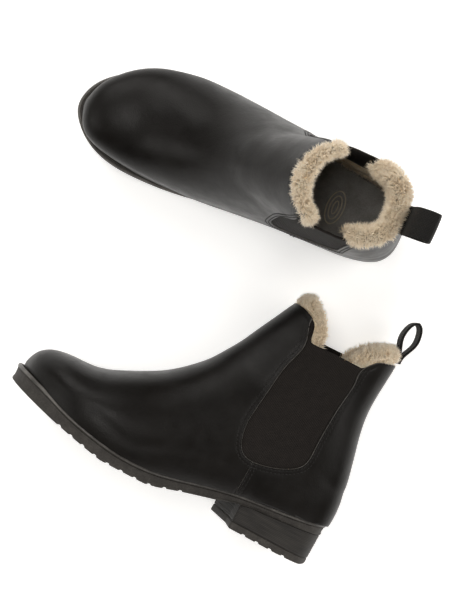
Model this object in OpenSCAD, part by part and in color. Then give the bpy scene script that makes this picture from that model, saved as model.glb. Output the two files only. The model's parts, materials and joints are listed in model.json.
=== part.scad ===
// Pair of fur-lined Chelsea boots: the right boot stands on its sole,
// the left boot lies on its inner side. Each boot is modelled once as a left
// boot in its own frame (x heel to toe, y to the outer side, z up) and then
// placed; the right boot is its mirror image. All lengths are millimetres.

/* [Upper] */
// thickness of the leather
leather_t = 1.6; // [1.2:0.1:2.0]
// thickness of the felt between leather and lining
felt_t = 1.0; // [0.8:0.1:1.2]
// thickness of the fur lining with its pile pressed down
lining_t = 4.6; // [3.5:0.1:6]
// depth of the fur collar that stands up at the rim
collar_t = 10.5; // [7:0.5:11]
// how far the elastic gores sit below the leather surface
gore_sink = 0.5; // [0.3:0.1:0.8]
// thickness of the elastic gores
gore_t = 1.6; // [1.2:0.1:1.8]

/* [Sole] */
// thickness of the welt that the upper stands on
welt_t = 3.5; // [3:0.5:5]
// width of the welt ring, outside edge to inside edge
welt_w = 15; // [12:1:18]
// thickness of the hard insole board
board_t = 2.5; // [2:0.5:3]
// thickness of the soft footbed
footbed_t = 4; // [3:0.5:6]
// height of the replaceable piece under the heel
lift_h = 6; // [5:0.5:8]
// depth of the tread grooves
groove_d = 1.8; // [1:0.1:2.5]

/* [Pull loop] */
// width of the webbing
loop_w = 22; // [18:1:25]
// thickness of the webbing
loop_t = 1.8; // [1.5:0.1:2.2]
// how far the right boot's loop leans back at rest, degrees
loop_lean = 30; // [0:1:40]

/* [Hidden] */

// placement of the two boots in the shared frame
right_at = [142.8, 52, 0];
right_yaw = 156.15;
left_at = [65.7, -216.7, 34.444];
left_yaw = 151.07;
left_tilt = 2.4270;
left_roll = 1.3888;
pair_shift = [6.1, 12.5, 0];

// where a pull loop is sewn in behind the fur
loop_root = [14.6, 0, 179.5];
// front of a pull loop from its root to its top, and where the two ends of the webbing part
loop_side = [[2.1, 1.2], [2.6, 8], [6.4, 18], [7, 27], [4.4, 35], [0, 38.4]];
loop_opens = 10;

black_leather = [0.07, 0.065, 0.062];
elastic_black = [0.05, 0.048, 0.046];
fur_cream = [0.82, 0.74, 0.6];
rubber_black = [0.1, 0.1, 0.1];
webbing_black = [0.06, 0.06, 0.06];
felt_grey = [0.5, 0.48, 0.45];
board_tan = [0.6, 0.45, 0.3];
footbed_grey = [0.18, 0.18, 0.18];
cork_brown = [0.65, 0.47, 0.3];
steel_grey = [0.7, 0.71, 0.73];

// The last: sixteen stations that fan out from the toe round the ankle to the rim.
// Each has a point on the top or front line, a point on the keel or back line,
// and its half widths.
front_line = [[277.3, 43.5], [273, 50], [263, 55.8], [246, 58.8], [224, 61.2], [200, 71.8],
  [179, 83.5], [162, 97.5], [149, 112.5], [140, 126], [134, 136], [127.5, 150],
  [120.5, 164.5], [113.5, 179], [107, 192], [101, 205]];
keel_line = [[278.6, 27], [272.5, 23.5], [262, 21.5], [243, 16], [216, 9], [184, 4.3],
  [148, 5], [108, 14], [66, 21.5], [27, 25], [3.4, 31], [0.8, 60],
  [7.5, 93], [15.2, 128], [14.9, 162], [13, 194]];
middle_line = [-4.4, -4.1, -3.2, -1.6, -0.5, 0, 0, 0, 0, 0, 0, 0, 0, 0, 0, 0];
half_lateral = [7, 19, 30.5, 43, 51.5, 54, 52.5, 48.5, 44.5, 41, 38.5, 37,
  35.6, 34.2, 33.5, 33];
half_medial = [6.5, 18, 27.5, 34.5, 39, 40, 39.5, 37.5, 36, 35.2, 34.8, 34.5,
  34, 33, 32.3, 31.8];
keel_lateral = [5, 16, 26.5, 38, 45.5, 47, 44, 37, 33, 30.5, 11, 0.6, 0.6, 0.6, 0.6, 0.6];
keel_medial = [4.5, 15.5, 25.5, 33.5, 39, 39.5, 35, 31, 31, 30, 11, 0.6, 0.6, 0.6, 0.6, 0.6];
widest_at = [0.5, 0.5, 0.52, 0.56, 0.6, 0.64, 0.66, 0.62, 0.57, 0.54, 0.51, 0.5,
  0.5, 0.5, 0.5, 0.5];
back_power = [2.4, 2.4, 2.4, 2.4, 2.4, 2.4, 2.4, 2.5, 2.7, 3.1, 3.3, 3.0, 2.7, 2.5, 2.5, 2.5];
front_power = 2.25;
// how finely the last is divided: sections toe to rim, steps round half a section,
// and the power that packs the sections towards the toe
sections = 20;
ring_half = 10;
section_spread = 0.94;
// A standing shaft sinks back at the front, between two heights, and opens to the side.
settle_back = 9.5;
settle_heights = [118, 186];
shaft_x = [14, 111];
open_share = 0.1;
open_heights = [90, 160];

// top of the welt, and the tread, as heights along the boot
feather_line = [[-12, 39.5], [3, 38.2], [24, 35], [54, 31.2], [88, 26.4], [127, 17], [151, 12.5],
  [170, 11.6], [190, 12.8], [218, 17.3], [238, 22.3], [258, 28], [280, 32.6], [300, 36]];
tread_line = [[-12, 29], [30, 25.5], [66, 22.5], [80, 19.5], [94, 14.8], [121, 7.6],
  [140, 1.9], [150, 0], [190, 0], [210, 3.6], [237, 8.8], [257, 13.2], [280, 18.4], [300, 23]];

// outline of the sole seen from above, counter-clockwise from the toe tip
sole_outline = [[284, -4.5], [280, 10.5], [270, 23.5], [255, 34.5], [235, 43.5], [210, 49],
  [185, 50], [160, 47], [135, 41.5], [110, 37], [85, 34.8], [60, 34], [35, 33],
  [14, 26.5], [3.8, 13.5], [1.2, 0], [3.8, -13.5], [14, -26.5], [35, -33], [60, -33.3],
  [85, -32.6], [110, -32.8], [135, -34.6], [160, -38.2], [185, -41.5], [210, -43],
  [235, -42], [254, -37.5], [269, -29], [280, -17]];

// outline of a gore seen from the side, from its front top corner to its back one
gore_outline = [[90, 180], [91, 161], [95, 137], [98.4, 112.5], [100.8, 92], [101.2, 76],
  [96, 61], [84, 56], [65, 60], [49, 68.5], [44.1, 79], [44.2, 92], [43.8, 110],
  [42.3, 130], [40.5, 149], [39.6, 163], [38.5, 180]];
// rim of the leather and the gores seen from the side, front to back
rim_line = [[124, 185], [111, 184], [103, 182.4], [95, 178.6], [90.5, 173.5], [88.6, 166],
  [87.5, 161.6], [65, 162.2], [39.8, 163], [36.7, 167], [31.5, 172.3], [24, 175.4],
  [13.7, 177.8], [2, 178.6]];
// how much higher the inner gore stands
medial_rise = 5;
seam_x = 83.5;
// the line that parts the vamp from the quarter above the side seam
front_edge = [[320, -10], [320, 230], [90, 230], [90, 160]];

// fur lining: height of its upper end, and where its front and back halves meet
lining_top = 156;
lining_split = 84;
collar_front_outline = [[118, 156], [118, 184], [111.5, 187], [105.5, 195.8], [98, 191.6],
  [90.7, 184.5], [84.5, 178.8], [80.1, 169], [79, 156]];
collar_back_outline = [[6, 156], [53, 156], [51.5, 163.2], [46.8, 171.3], [40.1, 178.6],
  [35.2, 182.8], [27.3, 186.1], [19.3, 188.4], [6, 188.4]];
// room in the back collar for the pull loop: its front, its gap at each side, its depth
loop_room = [20.2, 2, 4];

// stiffeners between the leather and the lining
puff_outline = [[232, -10], [320, -10], [320, 100], [232, 100]];
counter_outline = [[-12, 36], [66, 30], [66, 60], [44, 88], [20, 98], [-12, 98]];
counter_foot = [[-20, -10], [66, -10], [66, 40], [-20, 40]];

// stitching: how proud the thread stands, its distances from a gore and from a side seam
thread_proud = 0.4;
gore_stitch = [1.4, 2.2];
seam_stitch = [1.8, 2.6];
seam_stitch_z = [30, 53];

// heel: inset from the sole outline, plan of its straight front, seat under the outsole,
// and the bevel at the back of the top lift
heel_inset = 1.2;
heel_plan = [[-10, -60], [88, -60], [88, -31], [82, -12], [76, 8], [74, 40], [74, 60], [-10, 60]];
heel_seat = [[100, 13.4], [94, 14.8], [80, 19.5], [66, 22.5], [30, 25.5], [-12, 29]];
lift_bevel = [[-12, 3.5], [1, 2.2], [8, 0]];
nail_spots = [[16, 0], [26, 18], [26, -18], [50, 20], [50, -20]];
nail_r = 1.15;
nail_slack = 0.05;
nail_lift = 3;
// tread grooves: width, places across the sole and the heel, and slant on the sole
groove_w = 3;
sole_grooves = [108:12:216];
heel_grooves = [23, 35, 47, 59];
groove_slant = -6;
outsole_inset = 0.6;
// shank: from, to, half width and thickness
shank_x = [62, 150];
shank_half = 8;
shank_t = 2;

// side views run between these, in steps
x_first = -12;
x_last = 300;
x_step = 12;
// taller and wider than any piece
reach = 80;

function hermite(a, b, ma, mb, t) =
  (2*t*t*t - 3*t*t + 1)*a + (t*t*t - 2*t*t + t)*ma + (3*t*t - 2*t*t*t)*b + (t*t*t - t*t)*mb;
// value at station u of a list with evenly spaced stations
function along(list, u) = let(
  n = len(list), i = min(n - 2, max(0, floor(u))), t = u - i,
  a = list[i], b = list[i + 1],
  ma = i == 0 ? b - a : (b - list[i - 1])/2,
  mb = i == n - 2 ? b - a : (list[i + 2] - a)/2)
  hermite(a, b, ma, mb, t);
// the same on a closed list of points
function round_loop(list, steps) = let(n = len(list)) [
  for (i = [0:n - 1], k = [0:steps - 1]) let(
    a = list[i], b = list[(i + 1)%n], p = list[(i + n - 1)%n], q = list[(i + 2)%n])
    hermite(a, b, (b - p)/2, (q - a)/2, k/steps)];
function smooth_line(list, steps) = [
  for (k = [0:steps*(len(list) - 1)]) along(list, k/steps)];
// z of a line given as [x, z] points, straight between them
function height(line, x, i = 0) =
  i >= len(line) - 2 || x < line[i + 1][0] ?
    line[i][1] + (line[i + 1][1] - line[i][1])*(x - line[i][0])/(line[i + 1][0] - line[i][0])
  : height(line, x, i + 1);

// ---- the last and its offsets ----
function ease(a, b, v) = let(t = max(0, min(1, (v - a)/(b - a)))) t*t*(3 - 2*t);
function settle(p) = $standing ?
  [p[0] - settle_back*ease(settle_heights[0], settle_heights[1], p[1])
    *max(0, (p[0] - shaft_x[0])/(shaft_x[1] - shaft_x[0])), p[1]] : p;
function unit(v) = v/max(1e-9, norm(v));
function ring_point(u, a, side) = let(
  f = along(front_line, u), b = along(keel_line, u),
  wide = along(side > 0 ? half_lateral : half_medial, u),
  end = along(side > 0 ? keel_lateral : keel_medial, u),
  m = along(widest_at, u), p = along(back_power, u),
  t = a <= 90 ? m*(1 - pow(cos(a), 2/front_power)) : m + (1 - m)*pow(sin(a - 90), 2/p),
  w = a <= 90 ? wide*pow(sin(a), 2/front_power) : end + (wide - end)*pow(max(0, cos(a - 90)), 2/p),
  q = f + (b - f)*t,
  open = $standing && side > 0 ?
    1 + open_share*ease(open_heights[0], open_heights[1], q[1]) : 1)
  [settle(q)[0], along(middle_line, u) + side*w*open, q[1]];
// angles round half a section, from the front line to the keel
ring_angles = [for (k = [1:ring_half]) 180*k/ring_half];
function section(u) = concat(
  [ring_point(u, 0, 1)],
  [for (a = ring_angles) ring_point(u, a, 1)],
  [for (k = [ring_half:-1:1]) ring_point(u, ring_angles[k - 1], -1)]);
function last_grid() = [
  for (i = [0:sections]) section((len(front_line) - 1)*pow(i/sections, section_spread))];
ring_n = 2*ring_half + 1;
// the surface moved in by d, along its own normal
function inset_grid(g, d) = [for (i = [0:sections]) [for (j = [0:ring_n - 1]) let(
  up = g[min(sections, i + 1)][j] - g[max(0, i - 1)][j],
  flat_side = j == ring_half ? 1 : j == ring_half + 1 ? -1 : 0,
  before = g[i][flat_side < 0 ? j : (j + ring_n - 1)%ring_n],
  after = g[i][flat_side > 0 ? j : (j + 1)%ring_n],
  n = unit(cross(after - before, up)),
  toe = i == 0 ? [-d, 0, 0] : [0, 0, 0])
  g[i][j] - d*n + toe]];
module last_solid(d) {
  g = inset_grid(last_grid(), d);
  polyhedron(
    points = [for (r = g) each r],
    faces = concat(
      [[for (j = [0:ring_n - 1]) j]],
      [for (i = [0:sections - 1], j = [0:ring_n - 1]) let(
        a = i*ring_n + j, b = i*ring_n + (j + 1)%ring_n) [a, a + ring_n, b + ring_n]],
      [for (i = [0:sections - 1], j = [0:ring_n - 1]) let(
        a = i*ring_n + j, b = i*ring_n + (j + 1)%ring_n) [a, b + ring_n, b]],
      [[for (j = [ring_n - 1:-1:0]) sections*ring_n + j]]));
}
module shell(outer, inner) {
  difference() { last_solid(outer); last_solid(inner); }
}

// ---- regions seen from the side ----
module side_cut(points, from = -reach, to = reach) {
  translate([0, to, 0]) rotate([90, 0, 0]) linear_extrude(to - from)
    polygon([for (p = points) settle(p)]);
}
function heights(line, lift) = [
  for (x = [x_first:x_step:x_last]) [x, height(line, x) + lift]];
function backwards(list) = [for (k = [len(list) - 1:-1:0]) list[k]];
// everything between the welt and the rim
function below_rim(rise) = concat(heights(feather_line, 0), [[x_last, 185]],
  [for (p = rim_line) p + [0, rise]], [[x_first, 178.6]]);
body_region = below_rim(0);
// everything from a lift above the welt up to a height
function up_to(lift, z) = concat(heights(feather_line, lift), [[x_last, z], [x_first, z]]);
module gore_region() { side_cut(gore_outline); }
module front_region() { side_cut(concat([[seam_x, -10]], front_edge, [[seam_x, 56]])); }

// ---- one boot's pieces ----
// resize([0, 0, 0]) keeps a piece's size and has it cut as one mesh
module vamp() {
  resize([0, 0, 0]) difference() {
    intersection() { shell(0, leather_t); side_cut(body_region); front_region(); }
    gore_region();
  }
}
module quarter() {
  resize([0, 0, 0]) difference() {
    intersection() { shell(0, leather_t); side_cut(body_region); }
    front_region();
    gore_region();
  }
}
module gore(side) {
  resize([0, 0, 0]) intersection() {
    shell(gore_sink, gore_sink + gore_t);
    side_cut(below_rim(side > 0 ? 0 : medial_rise));
    side_cut(gore_outline, side > 0 ? 0 : -reach, side > 0 ? reach : 0);
  }
}
module gore_stitching() {
  resize([0, 0, 0]) intersection() {
    shell(-thread_proud, 0);
    side_cut(body_region);
    translate([0, reach, 0]) rotate([90, 0, 0]) linear_extrude(2*reach) difference() {
      offset(delta = gore_stitch[1]) polygon([for (p = gore_outline) settle(p)]);
      offset(delta = gore_stitch[0]) polygon([for (p = gore_outline) settle(p)]);
    }
  }
}
module side_seam_stitching() {
  resize([0, 0, 0]) intersection() {
    shell(-thread_proud, 0);
    side_cut([for (k = [[1, 0], [0, 0], [0, 1], [1, 1]])
      [seam_x - seam_stitch[k[0]], seam_stitch_z[k[1]]]]);
  }
}
// fur lining in front of and behind the gores, and all round below them
module lining(front) {
  resize([0, 0, 0]) difference() {
    intersection() {
      shell(leather_t + felt_t, leather_t + felt_t + lining_t);
      side_cut(up_to(board_t + footbed_t, lining_top));
      if (front) side_cut([[lining_split, -10], [320, -10], [320, 230], [lining_split, 230]]);
      else side_cut([[-20, -10], [lining_split, -10], [lining_split, 230], [-20, 230]]);
    }
    gore_region();
  }
}
module collar(outline) {
  resize([0, 0, 0]) difference() {
    intersection() {
      shell(leather_t + felt_t, leather_t + felt_t + collar_t);
      side_cut(outline);
    }
    translate([0, -loop_w/2 - loop_room[1], loop_root[2] - loop_room[2]])
      cube([loop_room[0], loop_w + 2*loop_room[1], reach]);
  }
}
// stiffeners and felt between the leather and the lining
module felt() {
  resize([0, 0, 0]) difference() {
    intersection() {
      shell(leather_t, leather_t + felt_t);
      side_cut(up_to(0, lining_top));
    }
    side_cut(puff_outline);
    side_cut(counter_outline);
    side_cut(counter_foot);
    gore_region();
  }
}
module toe_puff() {
  resize([0, 0, 0]) intersection() {
    shell(leather_t, leather_t + felt_t);
    side_cut(up_to(0, lining_top));
    side_cut(puff_outline);
  }
}
module heel_counter() {
  resize([0, 0, 0]) difference() {
    intersection() {
      shell(leather_t, leather_t + felt_t);
      side_cut(up_to(0, lining_top));
      union() {
        side_cut(counter_outline);
        side_cut(counter_foot);
      }
    }
    gore_region();
  }
}
// layers that fill the bottom of the boot
module floor_layer(inset, low, high) {
  resize([0, 0, 0]) intersection() {
    last_solid(inset);
    side_cut(concat(heights(feather_line, low), backwards(heights(feather_line, high))));
  }
}
module insole_board() { floor_layer(leather_t + felt_t, 0, board_t); }
module footbed() { floor_layer(leather_t + felt_t, board_t, board_t + footbed_t); }

// sole pieces: the outline extruded, then cut to height from the side
function outline_inset(d) = let(c = round_loop(sole_outline, 2), n = len(c)) [
  for (i = [0:n - 1]) let(t = unit(c[(i + 1)%n] - c[(i + n - 1)%n])) c[i] + d*[-t[1], t[0]]];
module sole_slab(inset, low, high) {
  intersection() {
    linear_extrude(reach) polygon(outline_inset(inset));
    side_cut(concat(low, backwards(high)));
  }
}
module welt() {
  resize([0, 0, 0]) difference() {
    sole_slab(0, heights(feather_line, -welt_t), heights(feather_line, 0));
    linear_extrude(reach) polygon(outline_inset(welt_w));
  }
}
module shank_cut() {
  intersection() {
    translate([shank_x[0], -shank_half, 0])
      cube([shank_x[1] - shank_x[0], 2*shank_half, reach]);
    side_cut(concat(heights(feather_line, -shank_t), backwards(heights(feather_line, 0))));
  }
}
module cork_filler() {
  resize([0, 0, 0]) difference() {
    sole_slab(welt_w, heights(feather_line, -welt_t), heights(feather_line, 0));
    shank_cut();
  }
}
module shank() { resize([0, 0, 0]) shank_cut(); }
module outsole() {
  resize([0, 0, 0]) difference() {
    sole_slab(outsole_inset, tread_line, heights(feather_line, -welt_t));
    for (x = sole_grooves) translate([x, -reach, height(tread_line, x) - reach])
      rotate([0, 0, groove_slant]) cube([groove_w, 2*reach, reach + groove_d]);
  }
}
module heel_section() {
  intersection() {
    linear_extrude(reach) polygon(outline_inset(heel_inset));
    linear_extrude(reach) polygon(heel_plan);
  }
}
module heel_block() {
  resize([0, 0, 0]) difference() {
    intersection() {
      heel_section();
      side_cut(concat([[x_first, lift_h], [100, lift_h]], heel_seat));
    }
    for (p = nail_spots) translate([p[0], p[1], lift_h + nail_lift])
      cylinder(r = nail_r + nail_slack, h = reach, $fn = 16);
  }
}
module heel_nails() {
  for (p = nail_spots) translate([p[0], p[1], lift_h + nail_lift])
    cylinder(r = nail_r, h = height(tread_line, p[0]) - lift_h - nail_lift - 2*nail_slack);
}
module top_lift() {
  resize([0, 0, 0]) difference() {
    intersection() {
      heel_section();
      side_cut(concat(lift_bevel, [[100, 0], [100, lift_h], [x_first, lift_h]]));
    }
    for (x = heel_grooves) translate([x, -reach, -reach])
      cube([groove_w, 2*reach, reach + groove_d]);
  }
}

// webbing folded into a loop, standing on its root
module pull_loop() {
  side = smooth_line(loop_side, 3);
  whole = concat(side, [for (k = [len(side) - 2:-1:0]) [-side[k][0], side[k][1]]]);
  translate(loop_root) translate([0, loop_w/2, 0]) rotate([90, 0, 0]) linear_extrude(loop_w)
    difference() {
      polygon(whole);
      intersection() {
        offset(delta = -loop_t) polygon(whole);
        translate([-reach, loop_opens]) square(2*reach);
      }
    }
}

// ---- placement ----
module place_right() {
  $standing = true;
  translate(pair_shift) translate(right_at) rotate([0, 0, right_yaw]) mirror([0, 1, 0]) children();
}
module place_left() {
  $standing = false;
  translate(pair_shift) translate(left_at) rotate([90, 0, left_yaw])
    rotate([left_roll, 0, left_tilt]) children();
}
module lean_back(angle) {
  translate(loop_root) rotate([0, -angle, 0]) translate(-loop_root) children();
}

module right_vamp() { color(black_leather) place_right() vamp(); }
module right_quarter() { color(black_leather) place_right() quarter(); }
module right_lateral_gore() { color(elastic_black) place_right() gore(1); }
module right_medial_gore() { color(elastic_black) place_right() gore(-1); }
module right_gore_stitching() { color(webbing_black) place_right() gore_stitching(); }
module right_side_seam_stitching() { color(webbing_black) place_right() side_seam_stitching(); }
module right_front_lining() { color(fur_cream) place_right() lining(true); }
module right_back_lining() { color(fur_cream) place_right() lining(false); }
module right_front_collar_fur() { color(fur_cream) place_right() collar(collar_front_outline); }
module right_back_collar_fur() { color(fur_cream) place_right() collar(collar_back_outline); }
module right_felt() { color(felt_grey) place_right() felt(); }
module right_toe_puff() { color(board_tan) place_right() toe_puff(); }
module right_heel_counter() { color(board_tan) place_right() heel_counter(); }
module right_footbed() { color(footbed_grey) place_right() footbed(); }
module right_insole_board() { color(board_tan) place_right() insole_board(); }
module right_shank() { color(steel_grey) place_right() shank(); }
module right_cork_filler() { color(cork_brown) place_right() cork_filler(); }
module right_welt() { color(rubber_black) place_right() welt(); }
module right_outsole() { color(rubber_black) place_right() outsole(); }
module right_heel_block() { color(rubber_black) place_right() heel_block(); }
module right_top_lift() { color(rubber_black) place_right() top_lift(); }
module right_heel_nails() { color(steel_grey) place_right() heel_nails(); }
module right_pull_loop() { color(webbing_black) place_right() lean_back(loop_lean) pull_loop(); }
module left_vamp() { color(black_leather) place_left() vamp(); }
module left_quarter() { color(black_leather) place_left() quarter(); }
module left_lateral_gore() { color(elastic_black) place_left() gore(1); }
module left_medial_gore() { color(elastic_black) place_left() gore(-1); }
module left_gore_stitching() { color(webbing_black) place_left() gore_stitching(); }
module left_side_seam_stitching() { color(webbing_black) place_left() side_seam_stitching(); }
module left_front_lining() { color(fur_cream) place_left() lining(true); }
module left_back_lining() { color(fur_cream) place_left() lining(false); }
module left_front_collar_fur() { color(fur_cream) place_left() collar(collar_front_outline); }
module left_back_collar_fur() { color(fur_cream) place_left() collar(collar_back_outline); }
module left_felt() { color(felt_grey) place_left() felt(); }
module left_toe_puff() { color(board_tan) place_left() toe_puff(); }
module left_heel_counter() { color(board_tan) place_left() heel_counter(); }
module left_footbed() { color(footbed_grey) place_left() footbed(); }
module left_insole_board() { color(board_tan) place_left() insole_board(); }
module left_shank() { color(steel_grey) place_left() shank(); }
module left_cork_filler() { color(cork_brown) place_left() cork_filler(); }
module left_welt() { color(rubber_black) place_left() welt(); }
module left_outsole() { color(rubber_black) place_left() outsole(); }
module left_heel_block() { color(rubber_black) place_left() heel_block(); }
module left_top_lift() { color(rubber_black) place_left() top_lift(); }
module left_heel_nails() { color(steel_grey) place_left() heel_nails(); }
module left_pull_loop() { color(webbing_black) place_left() pull_loop(); }

right_vamp();
right_quarter();
right_lateral_gore();
right_medial_gore();
right_gore_stitching();
right_side_seam_stitching();
right_front_lining();
right_back_lining();
right_front_collar_fur();
right_back_collar_fur();
right_felt();
right_toe_puff();
right_heel_counter();
right_footbed();
right_insole_board();
right_shank();
right_cork_filler();
right_welt();
right_outsole();
right_heel_block();
right_top_lift();
right_heel_nails();
right_pull_loop();
left_vamp();
left_quarter();
left_lateral_gore();
left_medial_gore();
left_gore_stitching();
left_side_seam_stitching();
left_front_lining();
left_back_lining();
left_front_collar_fur();
left_back_collar_fur();
left_felt();
left_toe_puff();
left_heel_counter();
left_footbed();
left_insole_board();
left_shank();
left_cork_filler();
left_welt();
left_outsole();
left_heel_block();
left_top_lift();
left_heel_nails();
left_pull_loop();
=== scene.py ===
"""A pair of black fur-lined Chelsea boots: the right one stands, the left one lies on its side.

Each boot is worked out in its own frame in millimetres (x from heel to toe, y to the outer
side, z up from the tread), and placed by the frame's mounts and joints.
"""
import json
import math

import bpy
import numpy as np
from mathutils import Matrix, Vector
from mathutils.kdtree import KDTree


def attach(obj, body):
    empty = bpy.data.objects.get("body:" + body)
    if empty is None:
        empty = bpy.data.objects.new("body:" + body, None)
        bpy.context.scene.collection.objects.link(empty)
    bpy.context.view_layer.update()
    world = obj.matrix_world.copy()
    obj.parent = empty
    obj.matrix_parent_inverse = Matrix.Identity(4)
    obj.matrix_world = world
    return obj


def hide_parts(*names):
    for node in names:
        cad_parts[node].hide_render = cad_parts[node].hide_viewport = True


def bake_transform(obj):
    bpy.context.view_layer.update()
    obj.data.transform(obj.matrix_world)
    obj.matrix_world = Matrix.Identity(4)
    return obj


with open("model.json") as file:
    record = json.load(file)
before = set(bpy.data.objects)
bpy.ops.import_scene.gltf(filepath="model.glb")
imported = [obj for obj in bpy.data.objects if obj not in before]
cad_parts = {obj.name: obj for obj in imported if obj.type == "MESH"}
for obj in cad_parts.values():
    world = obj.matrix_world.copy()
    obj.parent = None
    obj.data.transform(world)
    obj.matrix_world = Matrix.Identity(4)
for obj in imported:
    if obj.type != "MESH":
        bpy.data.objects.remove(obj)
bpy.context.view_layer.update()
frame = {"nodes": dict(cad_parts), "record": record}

MM = 0.001
RECORD = frame["record"]
SEED = 617

# ---------------------------------------------------------------- the boots' places
LOOP_ROOT = np.array([14.6, 0.0, 179.5])     # where a pull loop is sewn in
TREAD_POINT = np.array([53.0, 0.0, 0.0])     # the heel tread mount
MOUNTS = {m["name"]: m for m in RECORD["mounts"]}
JOINTS = {j["name"]: j for j in RECORD["behaviour"]["joints"]}


class Boot:
    """One boot's place in the row frame, and how its shaft has settled."""

    def __init__(self, side):
        self.side = side
        self.body = side + "_boot"
        self.loop_body = side + "_loop"
        self.standing = side == "right"
        self.mirrored = side == "right"
        tread = MOUNTS[side + "_heel_tread"]
        loop = JOINTS[side + "_loop_lean"]
        root = np.array(loop["pos_m"]) / MM
        sole = np.array(tread["pos_m"]) / MM
        self.up = -np.array(tread["axis"], float)
        self.out = -np.array(loop["axis"], float)
        step = root - sole - (LOOP_ROOT[2] - TREAD_POINT[2]) * self.up
        self.ahead = step / (LOOP_ROOT[0] - TREAD_POINT[0])
        self.origin = sole - TREAD_POINT[0] * self.ahead

    def place(self, points):
        """Points of the boot's own frame, in the row frame and metres; what would dip into
        the floor is pressed flat on it."""
        p = np.asarray(points, float)
        axes = np.stack([self.ahead, self.out, self.up])
        placed = (self.origin + p @ axes) * MM
        placed[:, 2] = np.maximum(placed[:, 2], 0.0)
        return placed


BOOTS = [Boot("right"), Boot("left")]

# ---------------------------------------------------------------- the last
# Stations fan out from the toe round the ankle to the rim, each from a point on the top
# or front line to a point on the keel or back line.
FRONT_LINE = [(277.3, 43.5), (273, 50), (263, 55.8), (246, 58.8), (224, 61.2), (200, 71.8),
              (179, 83.5), (162, 97.5), (149, 112.5), (140, 126), (134, 136), (127.5, 150),
              (120.5, 164.5), (113.5, 179), (107, 192), (101, 205)]
KEEL_LINE = [(278.6, 27), (272.5, 23.5), (262, 21.5), (243, 16), (216, 9), (184, 4.3),
             (148, 5), (108, 14), (66, 21.5), (27, 25), (3.4, 31), (0.8, 60),
             (7.5, 93), (15.2, 128), (14.9, 162), (13, 194)]
MIDDLE = [-4.4, -4.1, -3.2, -1.6, -0.5, 0, 0, 0, 0, 0, 0, 0, 0, 0, 0, 0]
HALF_OUTER = [7, 19, 30.5, 43, 51.5, 54, 52.5, 48.5, 44.5, 41, 38.5, 37, 35.6, 34.2, 33.5, 33]
HALF_INNER = [6.5, 18, 27.5, 34.5, 39, 40, 39.5, 37.5, 36, 35.2, 34.8, 34.5, 34, 33, 32.3, 31.8]
KEEL_OUTER = [5, 16, 26.5, 38, 45.5, 47, 44, 37, 33, 30.5, 11, 0.6, 0.6, 0.6, 0.6, 0.6]
KEEL_INNER = [4.5, 15.5, 25.5, 33.5, 39, 39.5, 35, 31, 31, 30, 11, 0.6, 0.6, 0.6, 0.6, 0.6]
WIDEST_AT = [0.5, 0.5, 0.52, 0.56, 0.6, 0.64, 0.66, 0.62, 0.57, 0.54, 0.51, 0.5, 0.5, 0.5, 0.5, 0.5]
BACK_POWER = [2.4, 2.4, 2.4, 2.4, 2.4, 2.4, 2.4, 2.5, 2.7, 3.1, 3.3, 3.0, 2.7, 2.5, 2.5, 2.5]
FRONT_POWER = 2.25
TOE_BULGE = 1.6          # how far the toe cap rounds out past the first station
SETTLE_BACK = 9.5        # how far the standing shaft's front sinks back at the rim

FEATHER_LINE = [(-12, 39.5), (3, 38.2), (24, 35), (54, 31.2), (88, 26.4), (127, 17), (151, 12.5),
                (170, 11.6), (190, 12.8), (218, 17.3), (238, 22.3), (258, 28), (280, 32.6), (300, 36)]
TREAD_LINE = [(-12, 29), (30, 25.5), (66, 22.5), (80, 19.5), (94, 14.8), (121, 7.6),
              (140, 1.9), (150, 0), (190, 0), (210, 3.6), (237, 8.8), (257, 13.2),
              (280, 18.4), (300, 23)]
SOLE_OUTLINE = [(284, -4.5), (280, 10.5), (270, 23.5), (255, 34.5), (235, 43.5), (210, 49),
                (185, 50), (160, 47), (135, 41.5), (110, 37), (85, 34.8), (60, 34), (35, 33),
                (14, 26.5), (3.8, 13.5), (1.2, 0), (3.8, -13.5), (14, -26.5), (35, -33),
                (60, -33.3), (85, -32.6), (110, -32.8), (135, -34.6), (160, -38.2), (185, -41.5),
                (210, -43), (235, -42), (254, -37.5), (269, -29), (280, -17)]
GORE_OUTLINE = [(89.5, 184), (91, 161), (95, 137), (98.4, 112.5), (100.8, 92), (101.2, 76),
                (96, 61), (84, 56), (65, 60), (49, 68.5), (44.1, 79), (44.2, 92), (43.8, 110),
                (42.3, 130), (40.5, 149), (39.6, 163), (38.2, 184)]
RIM_LINE = [(134, 185.5), (122, 185), (111, 184), (103, 182.4), (95, 178.6), (90.5, 173.5),
            (88.6, 166), (87, 161.8), (82, 161.4), (65, 162.2), (46, 162.8), (40.5, 163.2), (36.7, 167),
            (31.5, 172.3), (24, 175.4), (13.7, 177.8), (2, 178.6), (-10, 179)]
SEAM_X = 83.5            # the side seams below the gores
LEATHER = 1.6            # thicknesses
GORE_DEPTH = 1.25
MEDIAL_RISE = 5.0        # how much higher the inner gore stands
LINING_DEPTH = 7.0
FOOTBED_TOP = 6.5        # above the feather line


def ease(low, high, value):
    """0 below low, 1 above high, smooth between them."""
    t = np.clip((np.asarray(value, float) - low) / (high - low), 0, 1)
    return t * t * (3 - 2 * t)


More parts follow.
